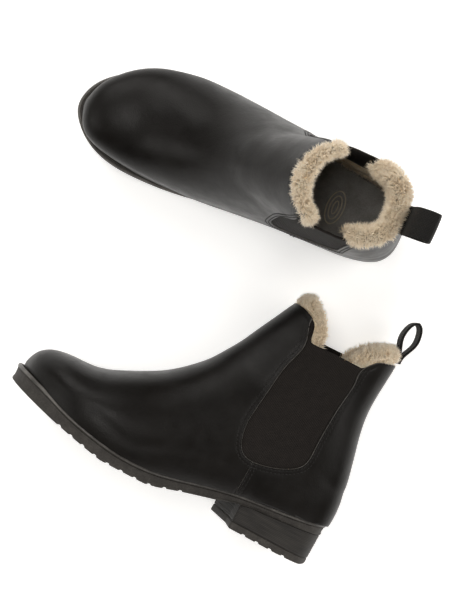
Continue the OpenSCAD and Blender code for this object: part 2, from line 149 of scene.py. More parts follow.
def spline(values, u, closed=False):
    """Curve through evenly spaced values, with no jump in its bend."""
    v = np.asarray(values, float)
    n = len(v)
    system = np.eye(n)
    bend = np.zeros_like(v)
    for i in range(n):
        if closed or 0 < i < n - 1:
            before, after = (i - 1) % n, (i + 1) % n
            system[i, [before, i, after]] = (1, 4, 1)
            bend[i] = 6 * (v[before] - 2 * v[i] + v[after])
    m = np.linalg.solve(system, bend)
    u = np.asarray(u, float)
    i = np.floor(u).astype(int)
    i = i % n if closed else np.clip(i, 0, n - 2)
    t = u - np.floor(u) if closed else u - i
    k = (i + 1) % n
    if v.ndim == 2:
        t = t[..., None]
    return ((1 - t) * v[i] + t * v[k]
            + ((1 - t) ** 3 - (1 - t)) / 6 * m[i] + (t ** 3 - t) / 6 * m[k])


def line_height(line, x):
    """Height of a line of the boot's side view at x, smoothed."""
    dense = spline(line, np.linspace(0, len(line) - 1, 300))
    return np.interp(x, dense[:, 0], dense[:, 1])


def run_along(points):
    """The length of an open curve up to each of its points."""
    return np.concatenate([[0], np.cumsum(np.linalg.norm(np.diff(points, axis=0), axis=1))])


def left_of(line):
    """Unit normals on the left of an open line."""
    d = np.gradient(line, axis=0)
    d /= np.linalg.norm(d, axis=1, keepdims=True)
    return np.stack([-d[:, 1], d[:, 0]], 1)


def resample(points, count):
    """The same open curve with points at even steps."""
    run = run_along(points)
    t = np.linspace(0, run[-1], count)
    return np.stack([np.interp(t, run, points[:, k]) for k in range(points.shape[1])], 1)


def settle_x(x, z):
    """How far a standing shaft's front has sunk back."""
    return SETTLE_BACK * ease(118, 186, z) * np.maximum(0, (x - 14) / 97)


def half_section(boot, u, outer, count):
    """Half of one section, front line to keel: rows of x, y, z and the pattern's x and z."""
    dense = np.linspace(0, math.pi, 241)
    upper = dense <= math.pi / 2
    front, keel = spline(FRONT_LINE, np.array([u]))[0], spline(KEEL_LINE, np.array([u]))[0]
    at = lambda values: float(spline(values, np.array([u]))[0])
    wide = at(HALF_OUTER if outer else HALF_INNER)
    end = max(0.6, at(KEEL_OUTER if outer else KEEL_INNER))
    m, power = at(WIDEST_AT), at(BACK_POWER)
    t = np.where(upper, m * (1 - np.abs(np.cos(dense)) ** (2 / FRONT_POWER)),
                 m + (1 - m) * np.maximum(0, -np.cos(dense)) ** (2 / power))
    w = np.where(upper, wide * np.sin(dense) ** (2 / FRONT_POWER),
                 end + (wide - end) * np.maximum(0, np.sin(dense)) ** (2 / power))
    q = front + (keel - front) * t[:, None]
    opened = 1 + 0.1 * ease(90, 160, q[:, 1]) if boot.standing and outer else 1.0
    x = q[:, 0] - (settle_x(q[:, 0], q[:, 1]) if boot.standing else 0)
    y = at(MIDDLE) + (1 if outer else -1) * w * opened
    return resample(np.stack([x, y, q[:, 1], q[:, 0], q[:, 1]], 1), count)


BRIDGE = 3               # columns between the outer keel and the inner one
BRIDGE_LOW = -7.0        # the lowest of them that is kept, from the feather line


class Last:
    """A fine grid over the upper: rows from the toe to above the rim, columns from the
    inner keel over the front line to the outer keel, then across to the inner keel again."""

    def __init__(self, boot, rows, half_columns):
        raw = []
        for u in np.linspace(0, len(FRONT_LINE) - 1, 260):
            inner = half_section(boot, u, False, half_columns)
            outer = half_section(boot, u, True, half_columns)
            across = np.linspace(0, 1, BRIDGE + 2)[1:, None]
            bridge = outer[-1] + (inner[-1] - outer[-1]) * across
            raw.append(np.concatenate([inner[::-1], outer[1:], bridge]))
        raw = np.array(raw)
        middle = raw[0].mean(axis=0)
        cap = []
        for c in np.linspace(0.02, 0.98, 14):
            ring = middle + (raw[0] - middle) * c
            ring[:, [0, 3]] += TOE_BULGE * (1 - c * c)
            cap.append(ring)
        raw = np.concatenate([np.array(cap), raw])
        step = np.linalg.norm(np.diff(raw[:, :, :3], axis=0), axis=2).mean(axis=1)
        run = np.concatenate([[0], np.cumsum(step)])
        t = np.linspace(0, run[-1], rows)
        flat = raw.reshape(len(raw), -1)
        grid = np.stack([np.interp(t, run, flat[:, k]) for k in range(flat.shape[1])], 1)
        grid = grid.reshape(rows, raw.shape[1], 5)
        grid = smooth_rows(grid, 5)
        self.points, self.pattern = grid[:, :, :3], grid[:, :, 3:]
        self.middle_column = half_columns - 1
        self.side_columns = 2 * half_columns - 1
        along = np.gradient(self.points, axis=0)
        ring = np.concatenate([self.points[:, -2:-1], self.points, self.points[:, 1:2]], 1)
        around = (ring[:, 2:] - ring[:, :-2]) / 2
        normal = np.cross(along, around)
        normal /= np.maximum(1e-9, np.linalg.norm(normal, axis=2, keepdims=True))
        self.normals = normal if normal[rows // 2, self.middle_column, 0] > 0 else -normal
        self.trees = {}

    def tree(self, outer):
        """Finds grid points of one side by their place in the side view."""
        if outer not in self.trees:
            columns = range(self.middle_column, self.side_columns) if outer \
                else range(self.middle_column + 1)
            tree = KDTree(self.points.shape[0] * len(columns))
            for i in range(1, self.points.shape[0] - 1):
                for j in columns:
                    if 0 < j < self.side_columns - 1:
                        tree.insert((*self.pattern[i, j], 0), i * self.points.shape[1] + j)
            tree.balance()
            self.trees[outer] = tree
        return self.trees[outer]

    def at(self, x, z, outer):
        """Point and outward normal on the surface at a place in the side view."""
        _, index, _ = self.tree(outer).find((x, z, 0))
        i, j = divmod(index, self.points.shape[1])
        i = min(max(i, 1), self.points.shape[0] - 2)
        j = min(max(j, 1), self.side_columns - 2)
        di = (self.pattern[i + 1, j] - self.pattern[i - 1, j]) / 2
        dj = (self.pattern[i, j + 1] - self.pattern[i, j - 1]) / 2
        gap = np.array([x, z]) - self.pattern[i, j]
        solve = np.stack([di, dj], 1)
        if abs(np.linalg.det(solve)) < 1e-3:
            return self.points[i, j], self.normals[i, j]
        a, b = np.clip(np.linalg.solve(solve, gap), -1.5, 1.5)
        p = (self.points[i, j] + a * (self.points[i + 1, j] - self.points[i - 1, j]) / 2
             + b * (self.points[i, j + 1] - self.points[i, j - 1]) / 2)
        return p, self.normals[i, j]


def smooth_rows(grid, passes):
    """Evens out the grid along its rows, keeping both ends."""
    for _ in range(passes):
        inner = (grid[:-2] + 2 * grid[1:-1] + grid[2:]) / 4
        grid = np.concatenate([grid[:1], inner, grid[-1:]])
    return grid


# ---------------------------------------------------------------- skins: cut pieces of the last
POINT, NORMAL, PATTERN, FIELDS = slice(0, 3), slice(3, 6), slice(6, 8), 8


class Skin:
    """Triangles over the last, with a row of numbers at each vertex: place, normal, place in
    the side view, then one column for each field that it can be cut along."""

    def __init__(self, data, faces, names=()):
        self.data, self.faces, self.names = data, faces, list(names)

    @classmethod
    def of_last(cls, last):
        rows, columns = last.points.shape[:2]
        data = np.concatenate([last.points, last.normals, last.pattern], 2).reshape(-1, 8)
        i, j = np.meshgrid(np.arange(rows - 1), np.arange(columns - 1), indexing="ij")
        a = (i * columns + j).ravel()
        b, c, d = a + 1, a + columns + 1, a + columns
        return cls(data, np.concatenate([np.stack([a, b, c], 1), np.stack([a, c, d], 1)]))

    def copy(self):
        return Skin(self.data.copy(), self.faces.copy(), self.names)

    def add(self, name, values):
        self.data = np.concatenate([self.data, np.asarray(values, float)[:, None]], 1)
        self.names.append(name)
        return self

    def get(self, name):
        return self.data[:, FIELDS + self.names.index(name)]

    def split(self, name, level):
        """Divides the triangles along the line where a field has one value."""
        v = self.get(name) - level
        v = np.where(np.abs(v) < 1e-4, 1e-4, v)
        above = v > 0
        count = above[self.faces].sum(axis=1)
        mixed = (count == 1) | (count == 2)
        if not mixed.any():
            return self
        f = self.faces[mixed]
        lone = np.where(count[mixed][:, None] == 1, above[f], ~above[f])
        first = lone.argmax(axis=1)
        turn = (first[:, None] + np.arange(3)) % 3
        a, b, c = np.take_along_axis(f, turn, 1).T
        edges = np.sort(np.concatenate([np.stack([a, b], 1), np.stack([a, c], 1)]), axis=1)
        unique, back = np.unique(edges, axis=0, return_inverse=True)
        back = back.reshape(-1)
        t = (v[unique[:, 0]] / (v[unique[:, 0]] - v[unique[:, 1]]))[:, None]
        fresh = self.data[unique[:, 0]] * (1 - t) + self.data[unique[:, 1]] * t
        ab, ac = back[:len(a)] + len(self.data), back[len(a):] + len(self.data)
        self.data = np.concatenate([self.data, fresh])
        self.faces = np.concatenate([self.faces[~mixed], np.stack([a, ab, ac], 1),
                                     np.stack([ab, b, c], 1), np.stack([ab, c, ac], 1)])
        return self

    def clip(self, name, level=0.0):
        """Keeps the side where the field is above a value."""
        self.split(name, level)
        middle = self.get(name)[self.faces].mean(axis=1)
        return self.keep(middle > level)

    def keep(self, mask):
        self.faces = self.faces[mask]
        used, back = np.unique(self.faces, return_inverse=True)
        self.data, self.faces = self.data[used], back.reshape(-1, 3)
        return self

    def lift(self, outer, inner):
        """A closed body between two heights above the last."""
        p, n = self.data[:, POINT], self.data[:, NORMAL]
        count = len(p)
        top = p + n * np.broadcast_to(outer, count)[:, None]
        low = p + n * np.broadcast_to(inner, count)[:, None]
        f = self.faces
        edges = np.concatenate([f[:, [0, 1]], f[:, [1, 2]], f[:, [2, 0]]])
        key = np.sort(edges, axis=1)
        _, index, times = np.unique(key, axis=0, return_index=True, return_counts=True)
        rim = edges[index[times == 1]]
        a, b = rim[:, 0], rim[:, 1]
        sides = np.concatenate([np.stack([b, a, a + count], 1), np.stack([b, a + count, b + count], 1)])
        return np.concatenate([top, low]), np.concatenate([f, f[:, ::-1] + count, sides])


def signed_distance(points, line, closed):
    """Distance to a line; inside a closed one, or on the left of an open one, it is positive."""
    line = np.asarray(line, float)
    a, b = (line, np.roll(line, -1, axis=0)) if closed else (line[:-1], line[1:])
    step = b - a
    gap = points[:, None, :] - a[None]
    t = np.clip((gap * step).sum(2) / (step ** 2).sum(1), 0, 1)
    off = gap - t[..., None] * step
    far = np.sqrt((off ** 2).sum(2))
    nearest = far.argmin(axis=1)
    every = np.arange(len(points))
    if closed:
        x, z = points[:, 0][:, None], points[:, 1][:, None]
        rise = np.where(b[:, 1] == a[:, 1], 1e-9, b[:, 1] - a[:, 1])
        cross = ((a[:, 1] > z) != (b[:, 1] > z)) & (
            x < (b[:, 0] - a[:, 0]) * (z - a[:, 1]) / rise + a[:, 0])
        sign = np.where(cross.sum(axis=1) % 2 == 1, 1, -1)
    else:
        s, g = step[nearest], off[every, nearest]
        sign = np.where(s[:, 0] * g[:, 1] - s[:, 1] * g[:, 0] > 0, 1, -1)
    return sign * far[every, nearest]


def smooth_outline(points, per=6, closed=True):
    n = len(points)
    u = np.arange(n * per) / per if closed else np.linspace(0, n - 1, (n - 1) * per + 1)
    return spline(points, u, closed)


def open_curve(points, per=6):
    return smooth_outline(points, per, closed=False)


def rounded_edge(distance, radius):
    """Height below the surface of an edge rounded off to a radius."""
    t = np.clip(distance / radius, 0, 1)
    return -radius * (1 - np.sqrt(np.clip(1 - (1 - t) ** 2, 0, 1)))


# ---------------------------------------------------------------- seeded smooth noise
def noise_table(seed):
    return np.random.default_rng(SEED + seed).random((32, 32, 32)) * 2 - 1


NOISE = {}


def noise(points, size, seed=0):
    """Smooth noise from -1 to 1 with features about one size across."""
    if seed not in NOISE:
        NOISE[seed] = noise_table(seed)
    table = NOISE[seed]
    p = np.asarray(points, float) / size + 16.0
    i = np.floor(p).astype(int)
    t = p - i
    t = t * t * (3 - 2 * t)
    total = np.zeros(len(p))
    for dx in (0, 1):
        for dy in (0, 1):
            for dz in (0, 1):
                w = (np.where(dx, t[:, 0], 1 - t[:, 0]) * np.where(dy, t[:, 1], 1 - t[:, 1])
                     * np.where(dz, t[:, 2], 1 - t[:, 2]))
                total += w * table[(i[:, 0] + dx) % 32, (i[:, 1] + dy) % 32, (i[:, 2] + dz) % 32]
    return total


# ---------------------------------------------------------------- making objects
def second_material(obj, material, mask):
    """Gives some of a piece's faces another material."""
    obj.data.materials.append(material)
    obj.data.polygons.foreach_set("material_index", np.asarray(mask, dtype=np.int32))
    obj.data.update()


def make_object(name, boot, points, faces, material, body=None, uv=None):
    """A mesh of the boot's own frame, placed in the row frame."""
    if isinstance(faces, np.ndarray):
        faces = faces.tolist()
    if boot.mirrored:
        faces = [f[::-1] for f in faces]
    mesh = bpy.data.meshes.new(name)
    mesh.from_pydata(boot.place(points).tolist(), [], faces)
    if uv is not None:
        layer = mesh.uv_layers.new(name="UVMap")
        loops = np.empty(len(mesh.loops), dtype=np.int64)
        mesh.loops.foreach_get("vertex_index", loops)
        layer.data.foreach_set("uv", (np.asarray(uv, float)[loops] * MM).ravel())
    mesh.polygons.foreach_set("use_smooth", [True] * len(mesh.polygons))
    mesh.materials.append(material)
    mesh.validate()
    mesh.update()
    obj = bpy.data.objects.new(name, mesh)
    bpy.context.scene.collection.objects.link(obj)
    if body != "blended":
        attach(obj, body or boot.body)
    return obj


# ---------------------------------------------------------------- materials
class Nodes:
    """A material's nodes: every texture is measured in metres on the object."""

    def __init__(self, name, **sockets):
        self.material = bpy.data.materials.new(name)
        self.material.use_nodes = True
        self.tree = self.material.node_tree
        self.shader = self.tree.nodes["Principled BSDF"]
        for key, value in sockets.items():
            self.shader.inputs[key.replace("_", " ")].default_value = value
        self.normal = None

    def node(self, kind, links=(), **values):
        n = self.tree.nodes.new(kind)
        for key, value in values.items():
            if key in n.inputs:
                n.inputs[key].default_value = value
            else:
                setattr(n, key, value)
        for key, source in dict(links).items():
            self.tree.links.new(source, n.inputs[key])
        return n

    def place(self, flat=False, stretch=(1, 1, 1)):
        source = self.node("ShaderNodeTexCoord").outputs["UV" if flat else "Object"]
        return self.node("ShaderNodeMapping", {"Vector": source}, Scale=stretch).outputs["Vector"]

    def noise(self, size, detail=3.0, rough=0.55, at=None):
        at = at or self.place()
        return self.node("ShaderNodeTexNoise", {"Vector": at}, Scale=1 / size, Detail=detail,
                         Roughness=rough).outputs["Fac"]

    def cells(self, size, at=None, feature="F1", out="Distance"):
        at = at or self.place()
        return self.node("ShaderNodeTexVoronoi", {"Vector": at}, feature=feature,
                         Scale=1 / size).outputs[out]

    def ribs(self, pitch, axis="X", at=None, wobble=0.0):
        at = at or self.place(flat=True)
        return self.node("ShaderNodeTexWave", {"Vector": at}, bands_direction=axis,
                         Scale=0.314159 / pitch, Distortion=wobble, Detail=1.0).outputs["Fac"]

    def range(self, value, low, high, start=0.0, end=1.0):
        n = self.node("ShaderNodeMapRange", {"Value": value})
        for key, number in (("From Min", start), ("From Max", end), ("To Min", low), ("To Max", high)):
            n.inputs[key].default_value = number
        return n.outputs["Result"]

    def math(self, operation, a, b):
        n = self.tree.nodes.new("ShaderNodeMath")
        n.operation = operation
        for k, v in enumerate((a, b)):
            if isinstance(v, (int, float)):
                n.inputs[k].default_value = v
            else:
                self.tree.links.new(v, n.inputs[k])
        return n.outputs[0]

    def colours(self, value, *stops):
        n = self.node("ShaderNodeValToRGB", {"Fac": value})
        ramp = n.color_ramp
        while len(ramp.elements) < len(stops):
            ramp.elements.new(0.5)
        for element, (at, colour) in zip(ramp.elements, stops):
            element.position, element.color = at, (*colour, 1)
        return n.outputs["Color"]

    def blend(self, value, a, b):
        links = {"Factor": value, "A": a, "B": b}
        return self.node("ShaderNodeMix", links, data_type="RGBA").outputs["Result"]

    def bump(self, height, depth, strength=1.0):
        links = {"Height": height}
        if self.normal:
            links["Normal"] = self.normal
        self.normal = self.node("ShaderNodeBump", links, Distance=depth,
                                Strength=strength).outputs["Normal"]

    def wire(self, **sources):
        for key, source in sources.items():
            self.tree.links.new(source, self.shader.inputs[key.replace("_", " ")])
        if self.normal:
            self.tree.links.new(self.normal, self.shader.inputs["Normal"])
        return self.material


def leather_material():
    m = Nodes("black_leather", Specular_IOR_Level=0.18)
    cloud = m.noise(0.035, 4)
    colour = m.colours(cloud, (0.3, (0.0036, 0.0029, 0.0023)), (0.7, (0.0056, 0.0046, 0.0037)))
    rough = m.range(m.noise(0.012, 5), 0.31, 0.43, 0.3, 0.7)
    m.bump(m.noise(0.013, 3, 0.5), 0.0004, 0.25)
    m.bump(m.noise(0.0024, 3, 0.6), 0.00016, 0.5)
    m.bump(m.cells(0.00075, feature="SMOOTH_F1"), 0.00009, 0.7)
    m.bump(m.cells(0.0042, at=m.place(stretch=(1, 1, 0.6)), feature="DISTANCE_TO_EDGE"), 0.00008, 0.4)
    return m.wire(Base_Color=colour, Roughness=rough)


def painted_edge_highlight_material():
    """The leather's cut edge, coloured paler as a painted highlight where it catches the light."""
    m = Nodes("leather_edge_painted_highlight", Specular_IOR_Level=0.6)
    # Noise patches the painted highlight's colour and roughness.
    highlight_patches = m.noise(0.004, 4)
    colour = m.colours(highlight_patches, (0.3, (0.036, 0.033, 0.029)), (0.7, (0.085, 0.078, 0.069)))
    m.bump(m.noise(0.0009, 3), 0.00008, 0.5)
    return m.wire(Base_Color=colour, Roughness=m.range(highlight_patches, 0.3, 0.5))


def elastic_material():
    m = Nodes("black_elastic", Specular_IOR_Level=0.15, Sheen_Weight=0.04, Sheen_Roughness=0.5)
    ribs = m.ribs(0.00125, "X", wobble=0.3)
    rows = m.ribs(0.0009, "Y")
    cloud = m.noise(0.006, 4)
    colour = m.blend(m.range(ribs, 0, 1, 0.15, 0.8),
                     m.colours(cloud, (0.3, (0.0062, 0.0050, 0.0042)), (0.7, (0.0088, 0.0073, 0.0062))),
                     m.colours(cloud, (0.3, (0.0145, 0.0120, 0.0102)), (0.7, (0.0195, 0.0162, 0.0138))))
    m.bump(ribs, 0.00035, 0.9)
    m.bump(rows, 0.00008, 0.6)
    m.bump(m.noise(0.0007, 2), 0.00006, 0.5)
    return m.wire(Base_Color=colour, Roughness=m.range(cloud, 0.82, 0.95))


def thread_material():
    m = Nodes("black_thread", Specular_IOR_Level=0.3, Sheen_Weight=0.03)
    twist = m.noise(0.0006, 2, at=m.place(stretch=(1, 2.5, 1)))
    colour = m.colours(twist, (0.3, (0.004, 0.0035, 0.003)), (0.7, (0.011, 0.010, 0.0085)))
    m.bump(twist, 0.0001, 0.7)
    return m.wire(Base_Color=colour, Roughness=m.range(twist, 0.5, 0.75))


def fur_material(name="cream_fur", shade=1.0):
    m = Nodes(name, Specular_IOR_Level=0.15, Sheen_Weight=0.25, Sheen_Roughness=0.6,
              Subsurface_Weight=0.3, Subsurface_Scale=0.003, Subsurface_Radius=(1, 1, 1))
    clump = m.noise(0.009, 3)
    fine = m.noise(0.0012, 4)
    low = m.colours(clump, (0.25, (0.74 * shade, 0.54 * shade, 0.32 * shade)),
                    (0.75, (0.92 * shade, 0.76 * shade, 0.53 * shade)))
    high = m.colours(clump, (0.25, (0.96 * shade, 0.81 * shade, 0.58 * shade)),
                     (0.75, (1.0 * shade, 0.93 * shade, 0.76 * shade)))
    colour = m.blend(m.range(fine, 0, 1, 0.35, 0.65), low, high)
    m.bump(fine, 0.0005, 0.5)
    return m.wire(Base_Color=colour, Roughness=m.range(fine, 0.8, 0.98))


def rubber_material():
    m = Nodes("dark_rubber", Specular_IOR_Level=0.3)
    pits = m.cells(0.0011)
    dust = m.noise(0.007, 5)
    colour = m.blend(m.range(dust, 0, 1, 0.42, 0.75),
                     m.colours(pits, (0.2, (0.022, 0.0195, 0.017)), (0.7, (0.034, 0.0305, 0.0265))),
                     m.colours(pits, (0.2, (0.036, 0.0325, 0.0285)), (0.7, (0.058, 0.053, 0.047))))
    m.bump(m.noise(0.004, 3), 0.0002, 0.3)
    m.bump(pits, 0.00022, 0.45)
    return m.wire(Base_Color=colour, Roughness=m.range(dust, 0.55, 0.78))


def painted_highlight_rubber_material():
    """The welt's upper edge: smoother, and coloured paler as a painted highlight."""
    m = Nodes("rubber_painted_highlight", Specular_IOR_Level=0.5)
    highlight_patches, fine = m.noise(0.011, 4), m.noise(0.0012, 3)
    colour = m.blend(m.range(highlight_patches, 0, 1, 0.35, 0.7),
                     m.colours(fine, (0.3, (0.034, 0.031, 0.0275)), (0.7, (0.058, 0.053, 0.047))),
                     m.colours(fine, (0.3, (0.085, 0.078, 0.070)), (0.7, (0.15, 0.14, 0.125))))
    m.bump(fine, 0.0001, 0.5)
    return m.wire(Base_Color=colour, Roughness=m.range(highlight_patches, 0.32, 0.5))


def stacked_material():
    """The heel: rubber moulded in thin layers."""
    m = Nodes("stacked_heel_rubber", Specular_IOR_Level=0.28)
    layers = m.ribs(0.0012, "Y", wobble=0.6)
    grain = m.noise(0.0035, 5, at=m.place(flat=True, stretch=(0.12, 1, 1)))
    colour = m.blend(m.range(layers, 0, 1, 0.2, 0.8),
                     m.colours(grain, (0.35, (0.009, 0.0079, 0.0069)), (0.65, (0.017, 0.0151, 0.0132))),
                     m.colours(grain, (0.35, (0.014, 0.0125, 0.0110)), (0.65, (0.036, 0.0325, 0.0285))))
    m.bump(layers, 0.0001, 0.5)
    m.bump(grain, 0.0003, 0.5)
    m.bump(m.noise(0.0012, 2), 0.0001, 0.4)
    return m.wire(Base_Color=colour, Roughness=m.range(grain, 0.5, 0.72))


def webbing_material():
    m = Nodes("black_webbing", Specular_IOR_Level=0.2, Sheen_Weight=0.03, Sheen_Roughness=0.4)
    across, along = m.ribs(0.0011, "X"), m.ribs(0.0014, "Y")
    herring = m.ribs(0.0022, "DIAGONAL")
    weave = m.math("MULTIPLY", across, m.math("ADD", m.math("MULTIPLY", along, 0.6), 0.4))
    cloud = m.noise(0.003, 3)
    colour = m.blend(m.range(weave, 0, 1, 0.1, 0.8),
                     m.colours(cloud, (0.3, (0.003, 0.0027, 0.0024)), (0.7, (0.005, 0.0045, 0.004))),
                     m.colours(cloud, (0.3, (0.010, 0.009, 0.008)), (0.7, (0.016, 0.0145, 0.013))))
    m.bump(weave, 0.00045, 0.9)
    m.bump(herring, 0.00012, 0.4)
    return m.wire(Base_Color=colour, Roughness=m.range(cloud, 0.6, 0.8))


def footbed_material():
    m = Nodes("footbed_suede", Specular_IOR_Level=0.2, Sheen_Weight=0.3, Sheen_Roughness=0.5)
    nap, cloud = m.noise(0.0009, 4), m.noise(0.014, 3)
    colour = m.blend(m.range(cloud, 0, 1, 0.3, 0.7),
                     m.colours(nap, (0.3, (0.17, 0.164, 0.154)), (0.7, (0.25, 0.242, 0.228))),
                     m.colours(nap, (0.3, (0.25, 0.241, 0.226)), (0.7, (0.37, 0.358, 0.337))))
    m.bump(nap, 0.0002, 0.6)
    return m.wire(Base_Color=colour, Roughness=m.range(nap, 0.8, 0.96))


def plain_material(name, dark, light, size, rough, depth, stretch=(1, 1, 1), **sockets):
    """Felt, board and such: one grain in two tones."""
    m = Nodes(name, **sockets)
    grain = m.noise(size, 4.0, 0.65, at=m.place(stretch=stretch))
    m.bump(grain, depth, 0.6)
    return m.wire(Base_Color=m.colours(grain, (0.32, dark), (0.68, light)),
                  Roughness=m.range(grain, rough, min(1.0, rough + 0.15)))


def cork_material():
    m = Nodes("cork", Specular_IOR_Level=0.25)
    grain = m.cells(0.0022, out="Color")
    tone = m.cells(0.0022)
    fine = m.noise(0.0008, 3)
    colour = m.blend(m.range(tone, 0, 1, 0.1, 0.6), m.colours(
        grain, (0.2, (0.42, 0.26, 0.13)), (0.8, (0.60, 0.42, 0.24))), m.colours(
        fine, (0.3, (0.20, 0.11, 0.05)), (0.7, (0.36, 0.22, 0.11))))
    m.bump(tone, 0.0004, 0.6)
    return m.wire(Base_Color=colour, Roughness=m.range(fine, 0.75, 0.92))


LEATHER_LOOK = leather_material()
EDGE_PAINTED_HIGHLIGHT_LOOK = painted_edge_highlight_material()
WELT_EDGE_HIGHLIGHT_LOOK = painted_highlight_rubber_material()
ELASTIC_LOOK = elastic_material()
THREAD_LOOK = thread_material()
FUR_LOOK = fur_material()
DEEP_FUR_LOOK = fur_material("cream_lining", 0.9)
RUBBER_LOOK = rubber_material()
HEEL_LOOK = stacked_material()
WEBBING_LOOK = webbing_material()
FOOTBED_LOOK = footbed_material()
INNER_LOOKS = {
    "felt": plain_material("grey_felt", (0.30, 0.28, 0.26), (0.50, 0.48, 0.44), 0.0016, 0.85,
                           0.0003, stretch=(1, 1, 0.5), Specular_IOR_Level=0.15),
    "toe_puff": plain_material("fibre_board", (0.36, 0.25, 0.15), (0.58, 0.44, 0.29), 0.0011,
                               0.7, 0.0002, stretch=(1, 0.35, 1), Specular_IOR_Level=0.25),
    "shank": plain_material("rolled_steel", (0.42, 0.42, 0.44), (0.62, 0.62, 0.64), 0.003, 0.28,
                            0.00004, stretch=(1, 0.08, 1), Metallic=1.0),
    "cork_filler": cork_material(),
}
INNER_LOOKS["heel_counter"] = INNER_LOOKS["insole_board"] = INNER_LOOKS["toe_puff"]
INNER_LOOKS["heel_nails"] = INNER_LOOKS["shank"]


def dress_inner_nodes(boot):
    """The pieces hidden inside a boot keep their CAD shape and get a material."""
    for piece, look in INNER_LOOKS.items():
        mesh = frame["nodes"][f"{boot.side}_{piece}"].data
        mesh.materials.clear()
        mesh.materials.append(look)


# ---------------------------------------------------------------- the upper
STITCH_ROWS = (1.6, 4.2)       # rows of stitches beside a gore and behind a side seam
DENT = 0.16                    # how far a row of stitches pulls the leather down
EDGE_RADIUS = 0.75
EDGE_HIGHLIGHT_WIDTH = 0.5                # width of the band beside a cut edge that gets the paler colour, a painted highlight
UPPER_ROWS, UPPER_HALF_COLUMNS = 250, 66
GORE_LINE = smooth_outline(GORE_OUTLINE)
RIM_CURVE = open_curve(RIM_LINE[::-1])
MARGIN_SINK, MARGIN_T = 0.6, 1.2       # the leather turned under: depth in the welt, thickness


def upper_skin(boot):
    """The outside of the last with the fields that its panels are cut along."""
    last = Last(boot, UPPER_ROWS, UPPER_HALF_COLUMNS)
    skin = Skin.of_last(last)
    place = skin.data[:, PATTERN]
    skin.add("gore", -signed_distance(place, GORE_LINE, True))
    skin.add("rim", -signed_distance(place, RIM_CURVE, False))
    skin.add("feather", place[:, 1] - line_height(FEATHER_LINE, place[:, 0]))
    skin.add("seam", place[:, 0] - SEAM_X)
    rows, columns = last.points.shape[:2]
    bridge = np.tile(np.arange(columns - 1) >= last.side_columns - 1, 2 * (rows - 1))
    skin.keep(~bridge | (skin.get("feather")[skin.faces].mean(axis=1) > BRIDGE_LOW))
    return last, skin


def turned_under(points, feather):
    """Flattens what curls in below the feather line to the lasting margin under the boot."""
    floor = line_height(FEATHER_LINE, points[:, 0])
    count = len(feather)
    rest = np.concatenate([floor[:count] - MARGIN_SINK, floor[count:] - MARGIN_SINK + MARGIN_T])
    points[:, 2] = np.maximum(points[:, 2], rest)
    return points


def leather_relief(points, pattern):
    """Soft unevenness, a slack ankle and the lasting fold above the sole."""
    x, z = pattern[:, 0], pattern[:, 1]
    rough = 0.24 * noise(points, 34, 1) + 0.08 * noise(points, 13, 2) + 0.02 * noise(points, 5, 3)
    wander = 6 * noise(points, 40, 4)
    ankle = np.exp(-((z - 108) / 18) ** 2) * ease(103, 124, x)
    folds = -0.22 * ankle * np.sin((z + wander + 0.25 * x) / 5.5)
    low = 34 + 12 * ease(178, 100, x) - 10 * np.exp(-((x - 178) / 26) ** 2)
    lasting = -0.55 * np.exp(-((z - low) / 5.5) ** 2) * ease(78, 104, x) * ease(246, 214, x)
    heel = -0.5 * np.exp(-((z - 66 - 0.2 * x) / 5.0) ** 2) * ease(40, 12, x)
    return rough + folds + lasting + heel


def stitch_dent(distance):
    dent = 0
    for row in STITCH_ROWS:
        dent = dent - DENT * np.exp(-((distance - row) / 0.55) ** 2)
    return dent


def leather_panel(boot, skin, name, front):
    panel = skin.copy()
    if not front:
        panel.data[:, FIELDS + panel.names.index("seam")] *= -1
    for field in ("gore", "rim", "seam"):
        panel.clip(field)
    panel.split("feather", -MARGIN_SINK)
    for level in (0.15, 0.35, 0.7, 1.1, 1.6, 2.1, 3.7, 4.2, 4.7):
        panel.split("gore", level)
    for level in (0.15, 0.35, 0.7):
        panel.split("rim", level)
    if front:
        for level in (0.2, 0.6):
            panel.split("seam", level)
    else:
        for level in (0.2, 0.6, 1.1, 1.6, 2.1, 3.7, 4.2, 4.7):
            panel.split("seam", level)
    gore, rim, seam = (panel.get(f) for f in ("gore", "rim", "seam"))
    points, pattern = panel.data[:, POINT], panel.data[:, PATTERN]
    edge = np.minimum(gore, rim)
    below = pattern[:, 1] < 58
    edge = np.where(below, np.minimum(edge, seam), edge)
    height = rounded_edge(edge, EDGE_RADIUS) + stitch_dent(gore)
    if not front:
        height = height + np.where(below, stitch_dent(seam), 0) + np.where(
            below, 0.35 * ease(12, 0, seam), 0) * ease(58, 50, pattern[:, 1])
    hem = 0.22 * ease(3.2, 4.4, rim) - 0.22
    feather = panel.get("feather")
    relief = leather_relief(points, pattern) * ease(0.2, 7, edge) * ease(0, 5, feather)
    p, f = panel.lift(height + relief + hem, relief - LEATHER)
    p = turned_under(p, feather)
    obj = make_object(f"{boot.side}_{name}_leather", boot, p, f, LEATHER_LOOK)
    # Faces this near a cut edge, and the cut edge walls, get the paler colour: a painted highlight.
    near = edge[panel.faces].max(axis=1) < EDGE_HIGHLIGHT_WIDTH
    second_material(obj, EDGE_PAINTED_HIGHLIGHT_LOOK, np.concatenate([near, near * False, np.ones(
        len(f) - 2 * len(near), bool)]))
    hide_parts(f"{boot.side}_{name}")


